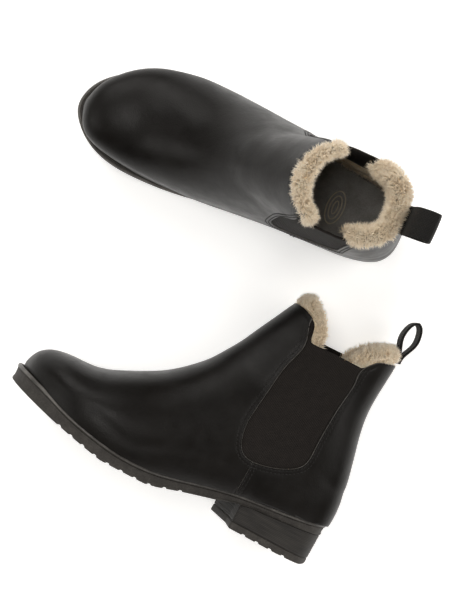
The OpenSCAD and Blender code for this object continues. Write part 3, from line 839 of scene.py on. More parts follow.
def gore_panel(boot, skin, outer):
    """Elastic between the leather panels, its sides and foot running in under them."""
    name = "lateral" if outer else "medial"
    panel = skin.copy()
    side = np.sign(panel.data[:, 1]) * (1 if outer else -1)
    keep = side[panel.faces].min(axis=1) > 0
    panel.keep(keep)
    panel.data[:, FIELDS + panel.names.index("gore")] *= -1
    panel.clip("gore", -3.0)
    top = 0.6 - (0 if outer else MEDIAL_RISE)
    if not outer:
        panel.add("tuck", panel.get("gore") + 0.4 * panel.get("rim") + 2.0).clip("tuck")
    panel.clip("rim", top)
    for level in (0.15, 0.4, 0.8, 3.6, 4.0, 4.4):
        panel.split("rim", top + level)
    rim, gore = panel.get("rim") - top, panel.get("gore")
    points, pattern = panel.data[:, POINT], panel.data[:, PATTERN]
    middle = (pattern[:, 0] - 68) / 26
    bulge = -0.7 * np.clip(1 - middle ** 2, 0, 1) * ease(56, 90, pattern[:, 1])
    ripple = 0.18 * noise(points * [1, 1, 0.35], 5.5, 6)
    turned = 0.35 * ease(4.2, 3.8, rim) - 0.1 * np.exp(-((rim - 4.0) / 0.4) ** 2)
    under = -0.55 * ease(0.6, -1.2, gore)
    height = -GORE_DEPTH + rounded_edge(rim, 0.7) + bulge + ripple + turned + under
    p, f = panel.lift(height, bulge + ripple - GORE_DEPTH - 1.55)
    flat = np.concatenate([pattern, pattern])
    obj = make_object(f"{boot.side}_{name}_elastic", boot, p, f, ELASTIC_LOOK, uv=flat)
    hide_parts(f"{boot.side}_{name}_gore")


# ---------------------------------------------------------------- stitches
STITCH_LENGTH, STITCH_PITCH, THREAD = 2.3, 3.1, 0.34


def stitch_shape():
    """One stitch along x: a plump thread that dips into the leather at both ends."""
    rings, sides = 7, 6
    points, faces = [], []
    for i in range(rings):
        t = i / (rings - 1) * 2 - 1
        thick = THREAD * max(0.12, math.sqrt(max(0, 1 - t ** 4)))
        for k in range(sides):
            a = 2 * math.pi * k / sides
            points.append((t * STITCH_LENGTH / 2, thick * math.cos(a),
                           0.28 - 0.42 * t * t + thick * math.sin(a)))
    for i in range(rings - 1):
        for k in range(sides):
            a, b = i * sides + k, i * sides + (k + 1) % sides
            faces.append((a, b, b + sides, a + sides))
    faces.append(tuple(range(sides))[::-1])
    faces.append(tuple((rings - 1) * sides + k for k in range(sides)))
    return np.array(points), faces


def stitch_spots(last, line, outer, lift=0.0):
    """Places, directions and normals of stitches along a line of the side view."""
    track, normals = [], []
    for x, z in line:
        p, n = last.at(x, z, outer)
        track.append(p + n * lift)
        normals.append(n)
    track, normals = np.array(track), np.array(normals)
    run = run_along(track)
    spots = []
    for s in np.arange(STITCH_PITCH / 2, run[-1], STITCH_PITCH):
        at = np.array([np.interp(s, run, track[:, k]) for k in range(3)])
        ahead = np.array([np.interp(s + 0.6, run, track[:, k]) for k in range(3)]) - np.array(
            [np.interp(s - 0.6, run, track[:, k]) for k in range(3)])
        n = np.array([np.interp(s, run, normals[:, k]) for k in range(3)])
        if np.linalg.norm(ahead) > 0.2:
            spots.append((at, ahead, n))
    return spots


def stitches(boot, name, spots, node):
    shape, cells = stitch_shape()
    points, faces = [], []
    for at, ahead, n in spots:
        x = ahead / np.linalg.norm(ahead)
        y = np.cross(n, x)
        y /= np.linalg.norm(y)
        z = np.cross(x, y)
        base = len(points) * len(shape)
        points.append(at + shape @ np.stack([x, y, z]))
        faces += [tuple(base + k for k in f) for f in cells]
    obj = make_object(f"{boot.side}_{name}", boot, np.concatenate(points), faces, THREAD_LOOK)
    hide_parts(f"{boot.side}_{node}")


def gore_stitch_line(distance):
    line = open_curve(GORE_OUTLINE)
    moved = line + distance * left_of(line)
    inside = signed_distance(moved, RIM_CURVE, False) < -1.5
    return moved[inside]


def boot_stitching(boot, last):
    spots = []
    for outer in (False, True):
        for row in STITCH_ROWS:
            line = gore_stitch_line(row)
            if (signed_distance(line[len(line) // 2:len(line) // 2 + 1], GORE_LINE, True) > 0)[0]:
                line = gore_stitch_line(-row)
            spots += stitch_spots(last, line, outer, -0.12)
    stitches(boot, "gore_stitches", spots, "gore_stitching")
    spots = []
    for outer in (False, True):
        for row in STITCH_ROWS:
            x = SEAM_X - row
            low = line_height(FEATHER_LINE, x) + 1.5
            spots += stitch_spots(last, [(x, z) for z in np.linspace(low, 51.5, 24)], outer, 0.2)
    stitches(boot, "side_seam_stitches", spots, "side_seam_stitching")


# ---------------------------------------------------------------- fur
LOCK_SEGMENTS = 2
COLLAR_LOCK, LINING_LOCK = (0.27, 0.14), (0.32, 0.2)      # radius and curl of a lock


def tufts(rng, roots, directions, lengths, radius, curl):
    """Thin curling locks, each a three-sided tapering tube, as one array of triangles."""
    n = len(roots)
    d = directions / np.linalg.norm(directions, axis=1, keepdims=True)
    helper = rng.normal(size=(n, 3))
    u = np.cross(d, helper)
    u /= np.linalg.norm(u, axis=1, keepdims=True)
    v = np.cross(d, u)
    bend = u * rng.normal(0, curl, (n, 1)) + v * rng.normal(0, curl, (n, 1))
    sway = u * rng.normal(0, curl * 0.6, (n, 1)) + v * rng.normal(0, curl * 0.6, (n, 1))
    angles = np.array([0, 2.0944, 4.18879])
    rings = []
    for k in range(LOCK_SEGMENTS):
        t = k / LOCK_SEGMENTS
        centre = roots + lengths[:, None] * (d * t + bend * t * t + sway * math.sin(t * math.pi))
        r = radius * (1 - 0.45 * t) * (0.55 + 0.45 * math.sin(min(1.0, t + 0.35) * math.pi / 2))
        for a in angles:
            rings.append(centre + r * (u * math.cos(a) + v * math.sin(a)))
    rings.append(roots + lengths[:, None] * (d + bend))
    per = 3 * LOCK_SEGMENTS + 1
    points = np.stack(rings, 1).reshape(-1, 3)
    cells = []
    for k in range(LOCK_SEGMENTS - 1):
        for a in range(3):
            b = (a + 1) % 3
            cells += [(3 * k + a, 3 * k + b, 3 * k + 3 + b), (3 * k + a, 3 * k + 3 + b, 3 * k + 3 + a)]
    for a in range(3):
        cells.append((per - 4 + a, per - 4 + (a + 1) % 3, per - 1))
    cells.append((2, 1, 0))
    cells = np.array(cells)
    faces = (np.arange(n)[:, None, None] * per + cells[None]).reshape(-1, 3)
    return points, faces


def scatter(rng, points, faces, count):
    """Places and normals spread evenly over a surface."""
    a, b, c = (points[faces[:, k]] for k in range(3))
    cross = np.cross(b - a, c - a)
    area = np.linalg.norm(cross, axis=1)
    pick = rng.choice(len(faces), count, p=area / area.sum())
    s, t = rng.random((2, count))
    over = s + t > 1
    s, t = np.where(over, 1 - s, s), np.where(over, 1 - t, t)
    at = a[pick] + s[:, None] * (b - a)[pick] + t[:, None] * (c - a)[pick]
    return at, cross[pick] / np.maximum(1e-9, area[pick])[:, None]


def clump(rng, at, directions, spacing, pull):
    """Leans the locks of a patch together, as combed-out wool does."""
    step = max(1, int(len(at) / max(8, len(at) * 3.2 / spacing ** 2 / 4)))
    centres = at[::step]
    tree = KDTree(len(centres))
    for i, p in enumerate(centres):
        tree.insert(p, i)
    tree.balance()
    nearest = np.array([tree.find(p)[1] for p in at])
    lean = rng.normal(0, 0.17, (len(centres), 3))
    return directions + pull * (centres[nearest] - at) / spacing + lean[nearest]


COLLARS = {
    "front": [(118, 156), (118, 184), (111.5, 187), (105.5, 195.8), (98, 191.6), (90.7, 184.5),
              (84.5, 178.8), (80.1, 169), (79, 156)],
    "back": [(53, 156), (51.5, 163.2), (46.8, 171.3), (40.1, 178.6), (35.2, 182.8),
             (27.3, 186.1), (19.3, 188.4), (6, 188.4), (-6, 188.4)],
}
COLLAR_TUFTS = {"front": 17500, "back": 19500}
COLLAR_MIDDLE = {"front": 5.6, "back": 7.4}      # depths below the last's surface
COLLAR_HALF = {"front": 2.9, "back": 4.7}
COLLAR_PUFF = 5.0
COLLAR_FOOT = 156.0
COLLAR_SPLIT = 66            # the front collar is ahead of this x, the back one behind it
LOOP_ZONE = (17.6, 12.0)       # the fur makes room for the loop up to this x and |y|
LOOP_FRONT = 1.4               # locks end this far before the middle of the loop
SWEPT = (15.0, 15.0, -0.5)     # locks this near a loop are made as an object of their own: ahead, aside, above its root
BLEND_REACH = (14.0, 3.0)      # two reaches ahead of the loop's root; the points there are worked out but not used
LOOP_LEAN = 30.0               # how far the standing boot's loop leans back, degrees


def collar(boot, skin, which):
    """A band of fur standing up inside the rim: a puffy body covered in locks."""
    rng = np.random.default_rng(SEED + len(boot.side) * 7 + len(which))
    panel = skin.copy()
    normals = panel.data[:, NORMAL]
    middle, thick = COLLAR_MIDDLE[which], COLLAR_HALF[which]
    place = panel.data[:, PATTERN] - middle * normals[:, [0, 2]]
    line = np.array(COLLARS[which], float)
    line = np.stack([np.interp(np.linspace(0, len(line) - 1, 60), range(len(line)), line[:, k])
                     for k in (0, 1)], 1)
    half = place[:, 0] > COLLAR_SPLIT if which == "front" else place[:, 0] <= COLLAR_SPLIT
    far = signed_distance(place, line, True)
    beyond = signed_distance(place, line, False)
    far = np.where(far > 0, np.abs(beyond), far)
    far = np.where((place[:, 1] < COLLAR_FOOT + 12) & half & (beyond > 0) & (far < 0)
                   & (place[:, 1] > COLLAR_FOOT), np.abs(beyond), far)
    panel.add("collar", far).add("foot", place[:, 1] - COLLAR_FOOT)
    panel.add("half", np.where(half, 1.0, -1.0))
    panel.keep((panel.get("half")[panel.faces] > 0).all(axis=1))
    panel.clip("foot").clip("collar")
    for level in (0.3, 0.9, 1.8, 3.0, 4.4):
        panel.split("collar", level)
    far, foot = panel.get("collar"), panel.get("foot")
    t = np.clip(far / COLLAR_PUFF, 0, 1)
    plump = np.sqrt(np.clip(1 - (1 - t) ** 2, 0, 1)) * (0.55 + 0.45 * ease(0, 10, foot))
    points = panel.data[:, POINT]
    lumps = (1.2 if which == "back" else 0.7) * noise(points, 9, 11) + 0.45 * noise(points, 4, 12)
    near_loop = (ease(LOOP_ZONE[0] + 3, LOOP_ZONE[0] - 2, points[:, 0])
                 * ease(LOOP_ZONE[1] + 4, LOOP_ZONE[1], np.abs(points[:, 1])))
    outer = -middle + thick * plump - 1.2 * near_loop + 0.4 * lumps * plump
    inner = -middle - thick * plump - lumps * plump
    outer = np.minimum(outer, np.where(panel.get("rim") > -0.5, -LEATHER - 0.6, outer))
    p, f = panel.lift(outer, np.minimum(inner, outer - 0.3))
    obj = make_object(f"{boot.side}_{which}_collar_body", boot, p, f, FUR_LOOK)
    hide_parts(f"{boot.side}_{which}_collar_fur")

    count = len(panel.faces)
    above = (panel.get("rim")[panel.faces] < 0.2).all(axis=1)
    rooted = np.concatenate([above, np.ones(count, bool), np.ones(len(f) - 2 * count, bool)])
    at, n = scatter(rng, p, f[rooted], COLLAR_TUFTS[which])
    to_shaft = at - np.array([62.0, 0.0, at[:, 2].mean()])
    outwards = np.sign((to_shaft[:, :2] * n[:, :2]).sum(axis=1))[:, None]
    lift = np.where(outwards > 0, 0.25, 0.5)
    swirl = np.stack([noise(at, 9, 15 + k) for k in range(3)], 1)
    d = n * 0.8 + np.array([0, 0, 1.0]) * lift + 0.62 * swirl + 0.15 * rng.normal(size=(len(at), 3))
    d = clump(rng, at, d, 3.4, 0.42)
    d /= np.linalg.norm(d, axis=1, keepdims=True)
    length = (3.0 + 4.2 * rng.random(len(at)) ** 1.5) * np.where(outwards[:, 0] > 0, 0.85, 1.0)
    tip = at + d * length[:, None]
    lean = math.radians(LOOP_LEAN if boot.standing else 0)
    from_root = tip - LOOP_ROOT
    before = from_root[:, 0] * math.cos(lean) + from_root[:, 2] * math.sin(lean)
    along = from_root[:, 2] * math.cos(lean) - from_root[:, 0] * math.sin(lean)
    keep = (before > LOOP_FRONT) | (np.abs(tip[:, 1]) > LOOP_ZONE[1]) | (along < -4)
    swept = keep & (before < SWEPT[0]) & (np.abs(tip[:, 1]) < SWEPT[1]) & (along > SWEPT[2])
    fixed = keep & ~swept
    tp, tf = tufts(rng, at[fixed], d[fixed], length[fixed], *COLLAR_LOCK)
    make_object(f"{boot.side}_{which}_collar_locks", boot, tp, tf, FUR_LOOK)
    if swept.any():
        tp, tf = tufts(rng, at[swept], d[swept], length[swept], *COLLAR_LOCK)
        pushed = make_object(f"{boot.side}_{which}_locks_by_loop", boot, tp, tf, FUR_LOOK,
                             body="blended")
        facing = np.array([math.cos(lean), 0, math.sin(lean)])
        start, end = boot.place([LOOP_ROOT + reach * facing for reach in BLEND_REACH])
        tuple(start)
        tuple(end)
        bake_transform(pushed)


LINING_SPLIT, LINING_TUFTS = 84.0, 12000
LINING_MIDDLE = 4.6                      # depth below the last's surface
LINING_SEEN = {"front": 62, "back": 46}  # locks grow above this height


def lining(boot, skin, which):
    """Fur lining between the leather and the foot, with locks where the mouth shows it."""
    rng = np.random.default_rng(SEED + 31 + len(boot.side) * 3 + len(which))
    panel = skin.copy()
    normals = panel.data[:, NORMAL]
    place = panel.data[:, PATTERN] - LINING_MIDDLE * normals[:, [0, 2]]
    low = place[:, 1] - line_height(FEATHER_LINE, np.clip(place[:, 0], 0, 280)) - FOOTBED_TOP + 0.8
    panel.add("gap", -signed_distance(place, GORE_LINE, True))
    panel.add("low", low).add("high", COLLAR_FOOT + 2.5 - place[:, 1])
    side = (place[:, 0] - LINING_SPLIT) * (1 if which == "front" else -1)
    panel.add("side", side)
    for field in ("low", "high", "side", "gap"):
        panel.clip(field)
    for level in (0.4, 1.2, 2.4):
        panel.split("gap", level)
    points = panel.data[:, POINT]
    t = np.clip(panel.get("gap") / 2.6, 0, 1)
    plump = np.sqrt(np.clip(1 - (1 - t) ** 2, 0, 1))
    lumps = 0.5 * noise(points, 6, 13) + 0.3 * noise(points, 3, 14)
    p, f = panel.lift(-LEATHER - 1.1, -LEATHER - 1.4 - (LINING_DEPTH - 3.2 + lumps) * plump)
    obj = make_object(f"{boot.side}_{which}_lining_pile", boot, p, f, DEEP_FUR_LOOK)
    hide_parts(f"{boot.side}_{which}_lining")
    count = len(panel.faces)
    seen = panel.data[:, PATTERN][:, 1][panel.faces].min(axis=1) > LINING_SEEN[which]
    seen &= panel.get("gap")[panel.faces].min(axis=1) > 2.4
    inner = f[count:2 * count][seen]
    at, n = scatter(rng, p, inner, LINING_TUFTS)
    d = n + np.array([0, 0, 0.35]) + 0.4 * rng.normal(size=(len(at), 3))
    d = clump(rng, at, d, 4.5, 0.6)
    tp, tf = tufts(rng, at, d, rng.uniform(2.6, 4.6, len(at)), *LINING_LOCK)
    make_object(f"{boot.side}_{which}_lining_locks", boot, tp, tf, DEEP_FUR_LOOK)


# ---------------------------------------------------------------- footbed
BOARD_TOP = 2.5
FOOTBED_X = (14.0, 268.0)
EMBLEM_AT, EMBLEM_SIZES = (58.0, 0.0), ((14.0, 7.0), (10.0, 4.4), (5.6, 1.9))
EMBLEM_LINE = 0.55


def footbed(boot, last):
    """A soft crowned foam sole with a suede cover, cupped at the heel."""
    xs = np.linspace(*FOOTBED_X, 170)
    across = np.linspace(-1, 1, 45)
    rows = []
    for x in xs:
        z = float(line_height(FEATHER_LINE, x)) + FOOTBED_TOP
        ends = []
        for outer in (False, True):
            y = abs(last.at(x, z, outer)[0][1]) - LEATHER - 1.2
            closing = min(1.0, math.sqrt(max(0.0, (x - FOOTBED_X[0] + 2) / 16)),
                          math.sqrt(max(0.0, (FOOTBED_X[1] + 3 - x) / 18)))
            ends.append(max(2.0, y * closing))
        y = np.where(across < 0, across * ends[0], across * ends[1])
        crown = 0.9 * (1 - across ** 2) * ease(95, 140, x) - 0.8 * (1 - across ** 2) * ease(90, 50, x)
        cup = 1.6 * np.abs(across) ** 6 * ease(110, 60, x)
        rows.append(np.stack([np.full_like(y, x), y, np.full_like(y, z) + crown + cup], 1))
    top = smooth_rows(np.array(rows), 4)
    edge = np.abs(across)[None, :] * np.ones((len(xs), 1))
    edge[0], edge[-1] = 1, 1
    top[:, :, 2] -= 1.0 * ease(0.93, 1.0, edge)
    grain = noise(top.reshape(-1, 3), 9, 21).reshape(top.shape[:2])
    top[:, :, 2] += 0.18 * grain
    low = top.copy()
    low[:, :, 2] = line_height(FEATHER_LINE, top[:, :, 0]) + BOARD_TOP
    n, m = top.shape[:2]
    points = np.concatenate([top.reshape(-1, 3), low.reshape(-1, 3)])
    faces = []
    for i in range(n - 1):
        for j in range(m - 1):
            a = i * m + j
            faces.append((a, a + m, a + m + 1, a + 1))
            faces.append(tuple(k + n * m for k in (a, a + 1, a + m + 1, a + m)))
    rim = ([i * m for i in range(n)] + [(n - 1) * m + j for j in range(1, m)]
           + [i * m + m - 1 for i in range(n - 2, -1, -1)] + [j for j in range(m - 2, 0, -1)])
    for a, b in zip(rim, rim[1:] + rim[:1]):
        faces.append((b, a, a + n * m, b + n * m))
    obj = make_object(f"{boot.side}_footbed_foam", boot, points, faces, FOOTBED_LOOK)
    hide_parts(f"{boot.side}_footbed")
    return top


def emblem(boot, top):
    """Plain nested ovals pressed into the heel of the footbed."""
    flat = top.reshape(-1, 3)
    tree = KDTree(len(flat))
    for i, p in enumerate(flat):
        tree.insert((p[0], p[1], 0), i)
    tree.balance()

    def height(x, y):
        found = tree.find_n((x, y, 0), 4)
        weights = [1 / (0.05 + d) for _, _, d in found]
        return sum(w * flat[i, 2] for w, (_, i, _) in zip(weights, found)) / sum(weights)

    points, faces = [], []
    steps, sides = 90, 6
    for rx, ry in EMBLEM_SIZES:
        base = len(points)
        for i in range(steps):
            a = 2 * math.pi * i / steps
            for k in range(sides):
                b = 2 * math.pi * k / sides
                r = EMBLEM_LINE * math.cos(b)
                x, y = EMBLEM_AT[0] + (ry + r) * math.cos(a), EMBLEM_AT[1] + (rx + r) * math.sin(a)
                points.append((x, y, height(x, y) + 0.12 + 0.28 * math.sin(b)))
        for i in range(steps):
            for k in range(sides):
                a, b = base + i * sides + k, base + i * sides + (k + 1) % sides
                after = base + (i + 1) % steps * sides
                faces.append((a, b, after + (k + 1) % sides, after + k))
    make_object(f"{boot.side}_footbed_emblem", boot, np.array(points), faces, EMBLEM_LOOK)


# ---------------------------------------------------------------- soles
WELT_T, WELT_W = 3.5, 15.0
GROOVE_W, GROOVE_DEPTH = 3.0, 1.8
SOLE_GROOVES = np.arange(108, 217, 12)
GROOVES_FROM = 100       # no sole groove is cut behind this x
EDGE_NOTCH = 1.1         # depth of a tread groove where it runs out at the side
GROOVE_SLANT = math.tan(math.radians(6))
HEEL_GROOVES = (23, 35, 47, 59)
HEEL_INSET = 1.2
HEEL_BREAST = [(-60, 88), (-31, 88), (-12, 82), (8, 76), (40, 74), (60, 74)]    # y, x
HEEL_SEAT = [(-12, 29), (30, 25.5), (66, 22.5), (80, 19.5), (94, 14.8), (100, 13.4)]
LIFT, LIFT_GAP = 6.0, 0.15               # the top lift's height, and the seam above it
HEEL_SAMPLES = 560
HEEL_BEVEL = ((-12, 1, 8), (3.5, 2.2, 0.0))      # x, and how far the underside rises there


def outward(loop):
    """Unit normals of a counter-clockwise closed line."""
    d = np.roll(loop, -1, axis=0) - np.roll(loop, 1, axis=0)
    d /= np.linalg.norm(d, axis=1, keepdims=True)
    return np.stack([d[:, 1], -d[:, 0]], 1)


def even_loop(points, count, passes=0):
    for _ in range(passes):
        points = (np.roll(points, 1, axis=0) + 2 * points + np.roll(points, -1, axis=0)) / 4
    closed = np.concatenate([points, points[:1]])
    return resample(closed, count + 1)[:-1]


def ring_body(rings):
    """Closed rings joined in order; the first and last are shrunk to a line already."""
    count = len(rings[0])
    points = np.concatenate(rings)
    k = np.arange(count)
    faces = []
    for i in range(len(rings) - 1):
        a, b = i * count + k, i * count + (k + 1) % count
        faces.append(np.stack([a, a + count, b + count], 1))
        faces.append(np.stack([a, b + count, b], 1))
    return points, np.concatenate(faces)


def towards(loop, spine, t):
    """A loop shrunk towards the stretch of a line from spine[0] to spine[1] along x."""
    anchor = np.stack([np.clip(loop[:, 0], spine[0], spine[1]), np.full(len(loop), spine[2])], 1)
    return anchor + (loop - anchor) * t


def with_z(loop, z):
    return np.concatenate([loop, np.broadcast_to(z, len(loop))[:, None]], 1)


def groove_cut(x, y, places, slant):
    """How deep the tread is cut away at a place, 0 to 1, with soft shoulders."""
    deep = np.zeros(len(x))
    for place in places:
        middle = place + GROOVE_W / 2 + slant * (y + 80)
        deep = np.maximum(deep, ease(GROOVE_W / 2 + 0.5, GROOVE_W / 2 - 0.5, np.abs(x - middle)))
    return deep


SOLE_SAMPLES = 820
SOLE_SPINE = (30.0, 252.0, 1.5)


def sole_loop():
    return even_loop(smooth_outline(SOLE_OUTLINE, 24), SOLE_SAMPLES)


def welt(boot):
    """The welt: a flat top with two fine grooves and a rounded edge."""
    loop = sole_loop()
    normal = outward(loop)
    profile = [(-WELT_W, -WELT_T), (-WELT_W, 0.0), (-7.0, 0.0), (-4.75, 0.02), (-4.45, -0.34),
               (-4.15, 0.04), (-3.05, 0.05), (-2.75, -0.32), (-2.45, 0.05), (-1.5, 0.0),
               (-0.75, -0.22), (-0.22, -0.75), (0.0, -1.5), (0.0, -2.5), (-0.3, -3.1),
               (-0.85, -3.42), (-2.5, -WELT_T)]
    rings = []
    for out, down in profile + profile[:1]:
        place = loop + normal * out
        rings.append(with_z(place, line_height(FEATHER_LINE, place[:, 0]) + down))
    wave = noise(rings[0], 30, 31)
    for ring in rings[2:-1]:
        ring[:, :2] += normal * 0.15 * wave[:, None]
    points, faces = ring_body(rings)
    obj = make_object(f"{boot.side}_welt_rim", boot, points, faces, RUBBER_LOOK)
    band = np.arange(len(rings) - 1).repeat(2 * len(loop))
    # Bands 8 to 12, the welt's outer top and rounded edge, get the paler rubber: a painted highlight.
    second_material(obj, WELT_EDGE_HIGHLIGHT_LOOK, (band >= 8) & (band <= 12))
    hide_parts(f"{boot.side}_welt")


def outsole(boot):
    """The outsole: a hollowed side wall, notched where the tread grooves run out."""
    loop = sole_loop()
    normal = outward(loop)
    x, y = loop.T
    top = line_height(FEATHER_LINE, x) - WELT_T
    tread = np.interp(x, *np.array(TREAD_LINE).T)
    cut = groove_cut(x, y, SOLE_GROOVES, GROOVE_SLANT) * (x > GROOVES_FROM)
    low = tread + EDGE_NOTCH * cut
    rings = []
    for t in (0.0, 0.4, 0.8):
        place = towards(loop, SOLE_SPINE, t)
        rings.append(with_z(place, line_height(FEATHER_LINE, place[:, 0]) - WELT_T))
    for out, share in ((-1.7, 1.0), (-1.0, 0.985), (-0.75, 0.93), (-0.95, 0.8), (-1.15, 0.6),
                       (-1.2, 0.42), (-1.0, 0.28), (-0.7, 0.19), (-0.6, 0.12)):
        ring = with_z(loop + normal * out, low + (top - low) * share)
        rings.append(ring)
    for out, lift in ((-0.62, 0.75), (-0.8, 0.3), (-1.25, 0.05), (-1.9, 0.0)):
        out = out - 0.25 * cut
        rings.append(with_z(loop + normal * np.broadcast_to(out, len(loop))[:, None], low + lift))
    edge = loop - normal * 2.0
    for t in np.concatenate([np.linspace(0.97, 0.06, 26), [0.0]]):
        place = towards(edge, SOLE_SPINE, t)
        ground = np.interp(place[:, 0], *np.array(TREAD_LINE).T)
        inner_cut = groove_cut(place[:, 0], place[:, 1], SOLE_GROOVES, GROOVE_SLANT)
        ridge = 0.5 * ease(0.90, 0.87, t) * ease(0.82, 0.85, t)
        deep = EDGE_NOTCH + (GROOVE_DEPTH - EDGE_NOTCH) * ease(0.97, 0.93, t)
        rings.append(with_z(place, ground + deep * inner_cut * (place[:, 0] > GROOVES_FROM) + ridge))
    points, faces = ring_body(rings)
    obj = make_object(f"{boot.side}_outsole_tread", boot, points, faces, RUBBER_LOOK)
    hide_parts(f"{boot.side}_outsole")


HEEL_SPINE = (28.0, 60.0, 0.0)


def heel_loop(inset):
    """The heel's plan: the back of the sole closed off by the curved breast."""
    loop = sole_loop()
    loop = loop - outward(loop) * inset
    breast = lambda y: np.interp(y, *np.array(HEEL_BREAST).T)
    inside = loop[:, 0] < breast(loop[:, 1])
    start = int(np.flatnonzero(inside & ~np.roll(inside, 1))[0])
    back = np.roll(loop, -start, axis=0)[:int(inside.sum())]
    y = np.linspace(back[-1, 1], back[0, 1], 60)[1:-1]
    front = np.stack([breast(y), y], 1)
    front[:, 0] -= inset * 0.2
    return even_loop(np.concatenate([back, front]), HEEL_SAMPLES)


def heel(boot):
    loop = even_loop(heel_loop(HEEL_INSET), HEEL_SAMPLES, 10)
    normal = outward(loop)
    seat = np.interp(loop[:, 0], *np.array(HEEL_SEAT).T)
    rings = [with_z(towards(loop, HEEL_SPINE, t), seat) for t in (0.0, 0.5, 0.97)]
    run = run_along(loop)
    for share in np.linspace(1, 0, 44):
        z = LIFT + LIFT_GAP + (seat - LIFT - LIFT_GAP) * share
        ends = min(1.0, (1 - share) * 14, share * 14)
        layer = 0.03 * np.cos(2 * math.pi * z / 2.2) + 0.12 * noise(
            np.stack([run * 0.22, z * 3.0, 0 * z], 1), 2.6, 41)
        out = -0.75 * (1 - ends) ** 2 + layer * ends
        rings.append(with_z(loop + normal * out[:, None], z))
    rings += [with_z(towards(loop, HEEL_SPINE, t), LIFT + LIFT_GAP) for t in (0.97, 0.5, 0.0)]
    points, faces = ring_body(rings)
    uv = np.stack([np.tile(run, len(rings)), points[:, 2]], 1)
    obj = make_object(f"{boot.side}_stacked_heel", boot, points, faces, HEEL_LOOK, uv=uv)
    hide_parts(f"{boot.side}_heel_block")

    back_lift = np.interp(loop[:, 0], *HEEL_BEVEL)
    cut = groove_cut(loop[:, 0], loop[:, 1], HEEL_GROOVES, 0.0)
    low = back_lift + EDGE_NOTCH * cut
    rings = [with_z(towards(loop, HEEL_SPINE, t), LIFT) for t in (0.0, 0.5, 0.97)]
    for out, share in ((-0.8, 1.0), (-0.25, 0.93), (0.0, 0.8), (0.05, 0.5), (0.05, 0.3)):
        rings.append(with_z(loop + normal * out, low + (LIFT - low) * share))
    for out, lift in ((0.0, 0.7), (-0.25, 0.25), (-0.8, 0.0)):
        rings.append(with_z(loop + normal * (out - 0.2 * cut)[:, None], low + lift))
    edge = loop - normal
    for t in np.concatenate([np.linspace(0.96, 0.05, 22), [0.0]]):
        place = towards(edge, HEEL_SPINE, t)
        ground = np.interp(place[:, 0], *HEEL_BEVEL)
        rings.append(with_z(place, ground + GROOVE_DEPTH * groove_cut(
            place[:, 0], place[:, 1], HEEL_GROOVES, 0.0)))
    points, faces = ring_body(rings)
    obj = make_object(f"{boot.side}_heel_lift", boot, points, faces, RUBBER_LOOK)
    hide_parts(f"{boot.side}_top_lift")


# ---------------------------------------------------------------- pull loops
LOOP_SIDE = [(2.1, 1.2), (2.6, 8), (6.4, 18), (7, 27), (4.4, 35), (0, 38.4)]
LOOP_W, LOOP_T = 22.0, 1.8


def pull_loop(boot):
    """Webbing folded over, its two ends sewn in together."""
    side = open_curve(LOOP_SIDE, 12)
    line = np.concatenate([side, side[::-1][1:] * [-1, 1]])
    inward, run = left_of(line), run_along(line)
    columns = 26
    half = np.linspace(-1, 1, columns)
    edge = np.abs(half)
    thick = (1 - 0.22 * ease(0.80, 0.86, edge) * ease(0.92, 0.88, edge)
             - 0.55 * ease(0.95, 1.0, edge) ** 2)
    points, flat = [], []
    for i in range(len(line)):
        for face in (0, 1):
            for j in range(columns):
                k = j if face == 0 else columns - 1 - j
                depth = LOOP_T / 2 + (-1 if face == 0 else 1) * LOOP_T / 2 * thick[k]
                p = line[i] + inward[i] * depth
                pinch = 0.5 * (1 - edge[k] ** 2) * math.sin(min(1, run[i] / run[-1]) * math.pi)
                points.append((p[0] + np.sign(p[0]) * pinch * 0.4, half[k] * LOOP_W / 2,
                               p[1] + pinch * 0.25))
                flat.append((half[k] * LOOP_W / 2, run[i]))
    ring = 2 * columns
    points = np.array(points)
    faces = []
    for i in range(len(line) - 1):
        for j in range(ring):
            a, b = i * ring + j, i * ring + (j + 1) % ring
            faces.append((a, a + ring, b + ring, b))
    faces.append(tuple(range(ring)))
    faces.append(tuple((len(line) - 1) * ring + k for k in reversed(range(ring))))
    lean = math.radians(LOOP_LEAN if boot.standing else 0)
    turned = np.stack([points[:, 0] * math.cos(lean) - points[:, 2] * math.sin(lean), points[:, 1],
                       points[:, 0] * math.sin(lean) + points[:, 2] * math.cos(lean)], 1)
    obj = make_object(f"{boot.side}_webbing_loop", boot, turned + LOOP_ROOT, faces, WEBBING_LOOK,
                      body=boot.loop_body, uv=np.array(flat))
    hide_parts(f"{boot.side}_pull_loop")


# ---------------------------------------------------------------- stage, light and camera
CAMERA_OVER = (0.0061, 0.0125)
WARM = (1.0, 0.975, 0.945)
CAMERA_HEIGHT, LENS = 1.3, 92.96
FLOOR_HALF = 4.0
WORLD_STRENGTH = 0.15
LIGHTS = (("overhead", (-0.22, 0.26, 1.9), 0.7, 9, (0, 0.05, 0)),       # at, size, power, aim
          ("back_softbox", (-0.5, 1.7, 1.2), 1.5, 20, (0, 0, 0)),
          ("left_softbox", (-1.8, 0.1, 1.1), 1.2, 9, (0, 0, 0)),
          ("right_softbox", (1.7, 0.3, 1.2), 1.4, 20, (0, 0, 0)),
          ("front_softbox", (0.4, -1.8, 1.2), 1.4, 20, (0, 0, 0)))


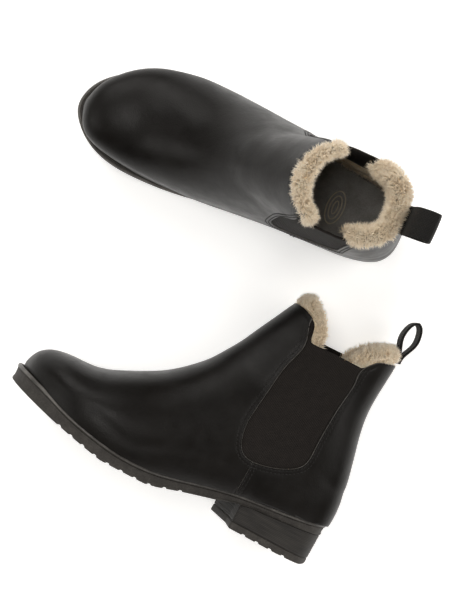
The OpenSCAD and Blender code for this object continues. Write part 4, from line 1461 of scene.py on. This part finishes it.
def stage():
    camera_data = bpy.data.cameras.new("camera")
    camera_data.lens = LENS
    camera = bpy.data.objects.new("camera", camera_data)
    camera.location = (*CAMERA_OVER, CAMERA_HEIGHT)
    bpy.context.scene.collection.objects.link(camera)
    bpy.context.scene.camera = camera

    floor = Nodes("white_floor", Roughness=0.9, Specular_IOR_Level=0.1, Emission_Strength=0.42,
                  Emission_Color=(1, 1, 0.99, 1))
    tone = floor.noise(0.4, 3)
    floor.wire(Base_Color=floor.colours(tone, (0.3, (0.93, 0.93, 0.925)), (0.7, (0.95, 0.95, 0.945))))
    mesh = bpy.data.meshes.new("floor")
    half = FLOOR_HALF
    mesh.from_pydata([(-half, -half, 0), (half, -half, 0), (half, half, 0), (-half, half, 0)], [],
                     [(0, 1, 2, 3)])
    mesh.materials.append(floor.material)
    plane = bpy.data.objects.new("floor", mesh)
    bpy.context.scene.collection.objects.link(plane)

    for name, at, size, power, aim in LIGHTS:
        data = bpy.data.lights.new(name, "AREA")
        data.size, data.energy, data.color = size, power, WARM
        light = bpy.data.objects.new(name, data)
        light.location = at
        light.rotation_euler = (Vector(aim) - Vector(at)).to_track_quat("-Z", "Y").to_euler()
        bpy.context.scene.collection.objects.link(light)
    world = bpy.data.worlds.new("studio")
    bpy.context.scene.world = world
    world.use_nodes = True
    back = world.node_tree.nodes["Background"]
    back.inputs["Color"].default_value = (*WARM, 1)
    back.inputs["Strength"].default_value = WORLD_STRENGTH
    bpy.context.scene.view_settings.view_transform = "Standard"


EMBLEM_LOOK = plain_material("emblem_grey", (0.46, 0.40, 0.31), (0.62, 0.55, 0.44), 0.001, 0.5,
                             0.0001, Specular_IOR_Level=0.3)

stage()
for boot in BOOTS:
    dress_inner_nodes(boot)
    last, skin = upper_skin(boot)
    leather_panel(boot, skin, "vamp", True)
    leather_panel(boot, skin, "quarter", False)
    for outer in (False, True):
        gore_panel(boot, skin, outer)
    boot_stitching(boot, last)
    for which in ("front", "back"):
        lining(boot, skin, which)
        collar(boot, skin, which)
    emblem(boot, footbed(boot, last))
    welt(boot)
    outsole(boot)
    heel(boot)
    pull_loop(boot)
